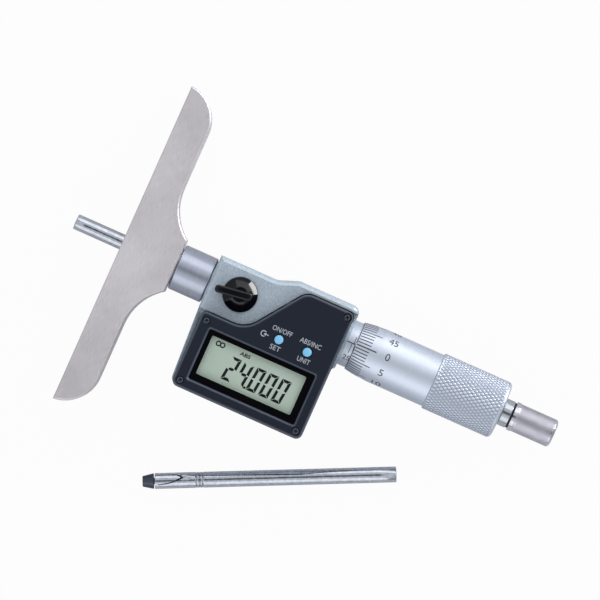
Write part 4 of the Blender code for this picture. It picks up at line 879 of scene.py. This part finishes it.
# %% [markdown]
# ## Buttons and screws
#
# Each button is a small disc whose top is slightly domed, so that it shows a soft highlight.

# %% Buttons
for side in ("left", "right"):
    low, high = span(f"button_{side}")
    middle = ((low[0] + high[0]) / 2, (low[1] + high[1]) / 2)
    dome = [(0, high[2]), (0.5, high[2] - 0.01), (0.9, high[2] - 0.04), (1.15, high[2] - 0.1),
            (1.3, high[2] - 0.22), (1.35, high[2] - 0.4), (1.35, low[2] + 0.5), (2.0, low[2] + 0.5),
            (2.0, low[2]), (0, low[2])]
    upright(f"{side}_key", dome, middle, f"{side}_button", button_plastic, columns=64,
            slot="blue_button", stands_for=[f"button_{side}"])
print("buttons done")

# %% [markdown]
# A cross recess can't be turned, but it is still one function: seen from above, the depth at a
# point depends on how far it is from the nearer of two crossing lines. The head is a disc of
# rings, and its height is lowered wherever that distance is small.

# %% Cross-recess screws
SCREW_HEAD, HEAD_HEIGHT, HEAD_CROWN, SHANK_SHARE = 1.0, 0.7, 0.16, 0.52
CROSS_HALF, CROSS_REACH, CROSS_DEPTH = 0.17, 0.62, 0.45
COLLAR_BORE, COLLAR_OUTSIDE, COLLAR_FOOT, COLLAR_CHAMFER = 1.13, 1.44, 0.7, 0.06


def screw_head(name, node, turn, columns=96):
    """A round head whose height falls in the cross and, more gently, towards its rim.

    Under it the shank goes down as a narrower round. A raised collar stands around the head.
    """
    low, high = span(node)
    middle = (low + high) / 2
    ring = np.concatenate([np.linspace(0, 0.85, 18), np.linspace(0.9, SCREW_HEAD, 6)])[:, None]
    angle = np.linspace(0, 2 * np.pi, columns, endpoint=False)[None, :]
    x, y = ring * np.cos(angle), ring * np.sin(angle)
    near, far = np.minimum(np.abs(x), np.abs(y)), np.maximum(np.abs(x), np.abs(y))
    cross = np.clip((CROSS_HALF - near) / 0.05, 0, 1) * np.clip((CROSS_REACH - far) / 0.15, 0, 1)
    height = high[2] - HEAD_CROWN * (ring / SCREW_HEAD) ** 4 - CROSS_DEPTH * cross
    under = high[2] - HEAD_HEIGHT
    lower = [np.stack(np.broadcast_arrays(share * x[-1], share * y[-1], level), axis=-1)
             for share, level in ((1, under), (SHANK_SHARE, under), (SHANK_SHARE, low[2]), (0, low[2]))]
    grid = np.concatenate([np.stack(np.broadcast_arrays(x, y, height), axis=-1), lower])
    points = swung(grid.reshape(-1, 3), turn) + (*middle[:2], 0)
    piece(name, points, grid_faces(len(grid), columns), "gauge", black_screw, slot="black_screw",
          stands_for=[node])
    section = [(COLLAR_BORE, HOUSING_FACE - COLLAR_FOOT), (COLLAR_OUTSIDE, HOUSING_FACE - COLLAR_FOOT),
               (COLLAR_OUTSIDE, HOUSING_FACE), (COLLAR_BORE + COLLAR_CHAMFER, HOUSING_FACE),
               (COLLAR_BORE, HOUSING_FACE - COLLAR_CHAMFER)]
    upright(f"{name}_collar", section, middle[:2], "gauge", shell_plastic, closed=True, slot="black_housing")


for number, turn in enumerate((0.3, 0.9, 0.1, 0.6), start=1):
    screw_head(f"cross_screw_{number}", f"housing_screw_{number}", turn)
print("four cross-recess screws")

# %% [markdown]
# ## The display
#
# A liquid-crystal panel is a grey-green sheet of glass whose segments turn dark. Each segment is
# a bar with pointed ends, and a digit is a choice of seven of them, so a digit is written as the
# list of its lit segments. The digits lean a little.

# %% Panel
PANEL_TOP = span("display_panel")[1][2]
# The panel also glows faintly, painted light that lifts the shade cast by the walls of the recess.
lcd = finish("lcd_glass", (0.49, 0.59, 0.5), (0.53, 0.63, 0.54), (0.3, 0.36), grain=(9, 9, 9), detail=2,
             Emission_Color=(0.5, 0.6, 0.5, 1), Emission_Strength=0.1)
segment_ink = finish("segment_ink", (0.004, 0.006, 0.007), (0.008, 0.011, 0.012), (0.45, 0.55),
                     grain=(0.5, 0.5, 0.5), Specular_IOR_Level=0.2)


def plate(name, node, edge, finish, slot):
    """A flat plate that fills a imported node's box and stands for it, its upper edges softened."""
    low, high = span(node)
    outline = [(low[0], low[1]), (high[0], low[1]), (high[0], high[1]), (low[0], high[1])]
    points, faces = softened_plate(outline, low[2], high[2], edge)
    return piece(name, points, faces, "gauge", finish, slot=slot, stands_for=[node])


plate("panel_glass", "display_panel", 0.1, lcd, "display_panel")

# %% Segments
DIGIT_HEIGHT, DIGIT_WIDTH, DIGIT_PITCH, STROKE, SLANT = 7.45, 3.05, 4.04, 0.88, 0.107
DIGIT_LEFT, DIGIT_FOOT = 43.0, -25.0
SEGMENT_GAP = 0.09
LIT = {"0": "abcdef", "2": "abged", "4": "fgbc"}


def segment_shapes(width, height, stroke, gap):
    """Six corners for each of a digit's seven bars, mitred where two bars meet at a corner."""
    half, wide, tall = height / 2, np.array([width, 0]), np.array([0, height])
    top = np.array([(gap, height), (width / 2, height), (width - gap, height),
                    (width - stroke - gap, height - stroke), (width / 2, height - stroke),
                    (stroke + gap, height - stroke)])
    left = np.array([(0, height - gap), (0, 0.75 * height), (0, half + gap),
                     (stroke, half + gap + 0.35 * stroke), (stroke, 0.75 * height),
                     (stroke, height - stroke - gap)])
    inner, tip = stroke + 2 * gap, stroke / 2 + 2 * gap
    middle = np.array([(tip, half), (inner, half + stroke / 2), (width - inner, half + stroke / 2),
                       (width - tip, half), (width - inner, half - stroke / 2),
                       (inner, half - stroke / 2)])
    mirrored, turned_down = np.array([-1, 1]), np.array([1, -1])
    return {"a": top, "d": top * turned_down + tall, "f": left, "e": left * turned_down + tall,
            "b": left * mirrored + wide, "c": -left + wide + tall, "g": middle}


def flat_piece(name, outlines, low, high, finish):
    """A piece made of closed flat solids, each an outline carried from one height to another."""
    outlines = np.array(outlines)
    count, corners = outlines.shape[:2]
    flat = np.broadcast_to(outlines[:, None], (count, 2, corners, 2))
    height = np.broadcast_to(np.array([low, high])[None, :, None, None], (count, 2, corners, 1))
    points = np.concatenate([flat, height], axis=-1).reshape(-1, 3)
    first = np.arange(count)[:, None] * 2 * corners
    sides = (grid_faces(2, corners)[None] + first[:, :, None]).reshape(-1, 4)
    lids = np.arange(corners)[None, None] + (first + np.array([0, corners]))[:, :, None]
    return piece(name, points, sides.tolist() + lids.reshape(-1, corners).tolist(), "gauge", finish, sharp=30)


SEGMENT_FOOT, SEGMENT_TOP = PANEL_TOP - 0.02, PANEL_TOP + 0.02
shapes = segment_shapes(DIGIT_WIDTH, DIGIT_HEIGHT, STROKE, SEGMENT_GAP)
outlines = []
for place, digit in enumerate("24000"):
    for segment in LIT[digit]:
        corners = shapes[segment].copy()
        corners[:, 0] += corners[:, 1] * SLANT + DIGIT_LEFT + place * DIGIT_PITCH
        corners[:, 1] += DIGIT_FOOT
        outlines.append(corners)
flat_piece("display_segments", outlines, SEGMENT_FOOT, SEGMENT_TOP, segment_ink)
POINT_SIZE, POINT_LEFT = 0.7, DIGIT_LEFT + 2 * DIGIT_PITCH - 0.85
point_corners = np.array([(0, 0), (1, 0), (1.1, 1), (0.1, 1)]) * POINT_SIZE + (POINT_LEFT, DIGIT_FOOT)
flat_piece("display_point", [point_corners], SEGMENT_FOOT, SEGMENT_TOP, segment_ink)
SIGN_Y, LINK_OUTSIDE, LINK_INSIDE = -15.8, 0.86, 0.46
flat_letters("display_abs", "ABS", 1.2, 3.35, (47.05, SIGN_Y, PANEL_TOP), segment_ink, 0.03)
for side, x, top in (("left", 38.4, SEGMENT_TOP), ("right", 39.7, SEGMENT_TOP + 0.005)):
    section = [(LINK_INSIDE, SEGMENT_FOOT), (LINK_OUTSIDE, SEGMENT_FOOT), (LINK_OUTSIDE, top),
               (LINK_INSIDE, top)]
    upright(f"display_link_{side}", section, (x, SIGN_Y), "gauge", segment_ink, columns=48, closed=True)
print(len(outlines), "lit segments")

# %% [markdown]
# The window is a thin clear sheet. A physically thick glass would darken and bend what is
# behind it in so small a gap, so it is mostly transparent with a smooth surface that still
# reflects the lamps.

# %% Window
window = finish("window", (0.02, 0.022, 0.02), (0.03, 0.032, 0.03), (0.03, 0.06), grain=(20, 20, 20),
                Alpha=0.04, Specular_IOR_Level=0.2)
plate("window_pane", "display_window", 0.08, window, "clear_window")

# %% [markdown]
# ## Printed legends
#
# The words by the buttons are printed in pale grey. They say what each button does.

# %% Legends
legend = finish("legend", (0.42, 0.44, 0.49), (0.5, 0.52, 0.57), (0.5, 0.6), grain=(0.1, 0.1, 0.1))
LEGEND_HEIGHT, UPPER_LINE, LOWER_LINE = 1.5, -4.7, -10.15
for name, text, x, y, width in (("on_off", "ON/OFF", 54.2, UPPER_LINE, 6.2),
                                ("set", "SET", 54.2, LOWER_LINE, 3.3),
                                ("abs_inc", "ABS/INC", 63.35, UPPER_LINE, 6.7),
                                ("unit", "UNIT", 63.4, LOWER_LINE, 4.0)):
    flat_letters(f"legend_{name}", text, LEGEND_HEIGHT, width, (x, y, HOUSING_FACE), legend, 0.003)


def open_ring(middle, outer, inner, first, last, steps=24):
    """Corners of a flat ring that is left open from the last angle round to the first."""
    angle = np.linspace(first, last, steps)
    arc = np.stack([np.cos(angle), np.sin(angle)], axis=-1)
    return np.concatenate([arc * outer, arc[::-1] * inner]) + middle


SYMBOL_PLACE, SYMBOL_OPENING = np.array([49.4, -7.6]), math.radians(50)
HEAD_BACK, HEAD_HALF, SHAFT_END, SHAFT_HALF = 0.75, 0.5, 1.6, 0.13
ring = open_ring(SYMBOL_PLACE, 0.95, 0.68, SYMBOL_OPENING, 2 * math.pi - SYMBOL_OPENING)
arrow = SYMBOL_PLACE + np.array([
    (0, 0), (HEAD_BACK, -HEAD_HALF), (HEAD_BACK, -SHAFT_HALF), (SHAFT_END, -SHAFT_HALF),
    (SHAFT_END, SHAFT_HALF), (HEAD_BACK, SHAFT_HALF), (HEAD_BACK, HEAD_HALF)])
for name, outline in (("legend_ring", ring), ("legend_arrow", arrow)):
    flat_piece(name, [outline], HOUSING_FACE - LETTER_DEPTH, HOUSING_FACE + INK_HEIGHT, legend)
print("four legends and a symbol")

# %% [markdown]
# ## Pieces out of sight
#
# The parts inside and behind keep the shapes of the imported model, and get the finish of what
# they are made of.

# %% Finishes of the carried-over nodes
INSIDE = (
    (seal_rubber, ("housing_seal", "display_connector", "battery_o_ring")),
    (lacquer, ("main_board", "switch_board", "encoder_stator")),
    (cell_steel, ("battery_cell",)),
    (shell_plastic, ("battery_holder",)),
    (brass, ("battery_contact", "lock_shoe", "encoder_rotor", "encoder_retainer", "thread_sleeve",
             "ratchet_pawl")),
    (polished_steel, ("lock_screw", "rotor_key", "adjusting_nut", "ratchet_screw", "ratchet_spring")),
)
for material, nodes in INSIDE:
    for node in nodes:
        materials = frame["nodes"][node].data.materials
        materials.clear()
        materials.append(material)
print(sum(len(nodes) for material, nodes in INSIDE), "nodes finished")

# %% [markdown]
# ## Floor, light and camera
#
# The photograph has a pure white ground, so the floor shows white to the camera and stays a
# plain pale floor to everything else. Two long softboxes stand along the gauge, one on either
# side, and the sky straight above them is dark. A round piece then shows two bright bands with a
# darker one between, which is what makes it look like metal. A narrow bright panel low on the
# far side puts a highlight on what slopes towards it.

# %% Floor
FLOOR_HALF, FLOOR_DROP = 0.9, -0.0003  # metres
SEEN_WHITE = (("Is Camera Ray", 0.96), ("Is Glossy Ray", 0.15), ("Is Transmission Ray", 0.96))


def floor_finish():
    """A pale surface that the camera, mirrors and glass see as white, except where it is in shadow."""
    made = bpy.data.materials.new("floor")
    made.use_nodes = True
    nodes, link = made.node_tree.nodes, made.node_tree.links.new
    shader = nodes["Principled BSDF"]
    shader.inputs["Base Color"].default_value = (0.6, 0.6, 0.62, 1)
    shader.inputs["Roughness"].default_value = 0.9
    white = add_node(made, "Emission", Strength=1.0)
    path = add_node(made, "LightPath")
    share = None
    for ray, part in SEEN_WHITE:
        part_of = add_node(made, "Math", operation="MULTIPLY")
        part_of.inputs[1].default_value = part
        link(path.outputs[ray], part_of.inputs[0])
        if share:
            larger = add_node(made, "Math", operation="MAXIMUM")
            link(share.outputs["Value"], larger.inputs[0])
            link(part_of.outputs["Value"], larger.inputs[1])
            part_of = larger
        share = part_of
    mix = add_node(made, "MixShader")
    link(share.outputs["Value"], mix.inputs["Fac"])
    link(shader.outputs["BSDF"], mix.inputs[1])
    link(white.outputs["Emission"], mix.inputs[2])
    link(mix.outputs["Shader"], nodes["Material Output"].inputs["Surface"])
    return made


floor_corners = [(x * FLOOR_HALF, y * FLOOR_HALF, FLOOR_DROP)
                 for x, y in ((-1, -1), (1, -1), (1, 1), (-1, 1))]
floor_mesh = bpy.data.meshes.new("floor")
floor_mesh.from_pydata(floor_corners, [], [(0, 1, 2, 3)])
floor_mesh.materials.append(floor_finish())
floor_object = bpy.data.objects.new("floor", floor_mesh)
bpy.context.scene.collection.objects.link(floor_object)

# %% Lamps
VIEW_MIDDLE = AXES + np.array([55.17, 5.78, 0]) / 1000
LAMP_DISTANCE = 0.8
SOFTBOX, PANEL = (1.6, 0.62), (0.75, 0.1)


def lamp(name, tilt, azimuth, size, radiance, colour):
    """An oblong lamp facing the gauge, tilted from straight up towards an azimuth, in degrees.

    A flat lamp of area A that sends out P watts has a radiance of P / (pi A), so its power
    follows from how bright it looks.
    """
    tilt, azimuth = math.radians(tilt), math.radians(azimuth)
    outwards = np.array([math.sin(tilt) * math.cos(azimuth), math.sin(tilt) * math.sin(azimuth),
                         math.cos(tilt)])
    light = bpy.data.lights.new(name, "AREA")
    light.shape = "RECTANGLE"
    light.size, light.size_y = size
    light.energy = radiance * math.pi * size[0] * size[1]
    light.color = colour
    made = bpy.data.objects.new(name, light)
    made.location = VIEW_MIDDLE + outwards * LAMP_DISTANCE
    made.rotation_euler = Vector(-outwards).to_track_quat("-Z", "Y").to_euler()
    made.visible_camera = False
    bpy.context.scene.collection.objects.link(made)


lamp("softbox_far", 60, 90, SOFTBOX, 0.95, (0.98, 0.99, 1))
lamp("softbox_near", 60, -90, SOFTBOX, 0.75, (0.96, 0.98, 1))
lamp("key", 83, 50, PANEL, 14, (1, 1, 1))

# %% [markdown]
# The room around them is a sky whose brightness depends on the height alone: dim at the floor,
# brightest well above the horizon, and dark in a small patch straight above. The camera sees
# white in its place.

# %% World
ROOM_TONES = ((0.0, 0.3), (1.0, 0.1), (0.45, 0.5), (0.8, 0.8), (0.97, 0.76), (0.985, 0.12))
world = bpy.data.worlds.new("studio")
world.use_nodes = True
bpy.context.scene.world = world
link = world.node_tree.links.new
ambient = world.node_tree.nodes["Background"]
direction = add_node(world, "TexCoord")
split = add_node(world, "SeparateXYZ")
room = add_ramp(world, *((rise, (0.94 * tone, 0.97 * tone, tone)) for rise, tone in ROOM_TONES))
link(direction.outputs["Generated"], split.inputs["Vector"])
link(split.outputs["Z"], room.inputs["Fac"])
link(room.outputs["Color"], ambient.inputs["Color"])
seen = add_node(world, "Background", Color=(1, 1, 1, 1))
path = add_node(world, "LightPath")
mix = add_node(world, "MixShader")
link(path.outputs["Is Camera Ray"], mix.inputs["Fac"])
link(ambient.outputs["Background"], mix.inputs[1])
link(seen.outputs["Background"], mix.inputs[2])
link(mix.outputs["Shader"], world.node_tree.nodes["World Output"].inputs["Surface"])

# %% Camera
TURN = math.radians(24.02)
VIEW_WIDTH, DISTANCE, SENSOR = 0.179, 1.5, 36
camera_data = bpy.data.cameras.new("camera")
camera_data.sensor_width = SENSOR
camera_data.lens = SENSOR * DISTANCE / VIEW_WIDTH
camera = bpy.data.objects.new("camera", camera_data)
camera.location = VIEW_MIDDLE + (0, 0, DISTANCE)
camera.rotation_euler = (0, 0, TURN)
bpy.context.scene.collection.objects.link(camera)
bpy.context.scene.camera = camera
bpy.context.scene.view_settings.view_transform = "Standard"
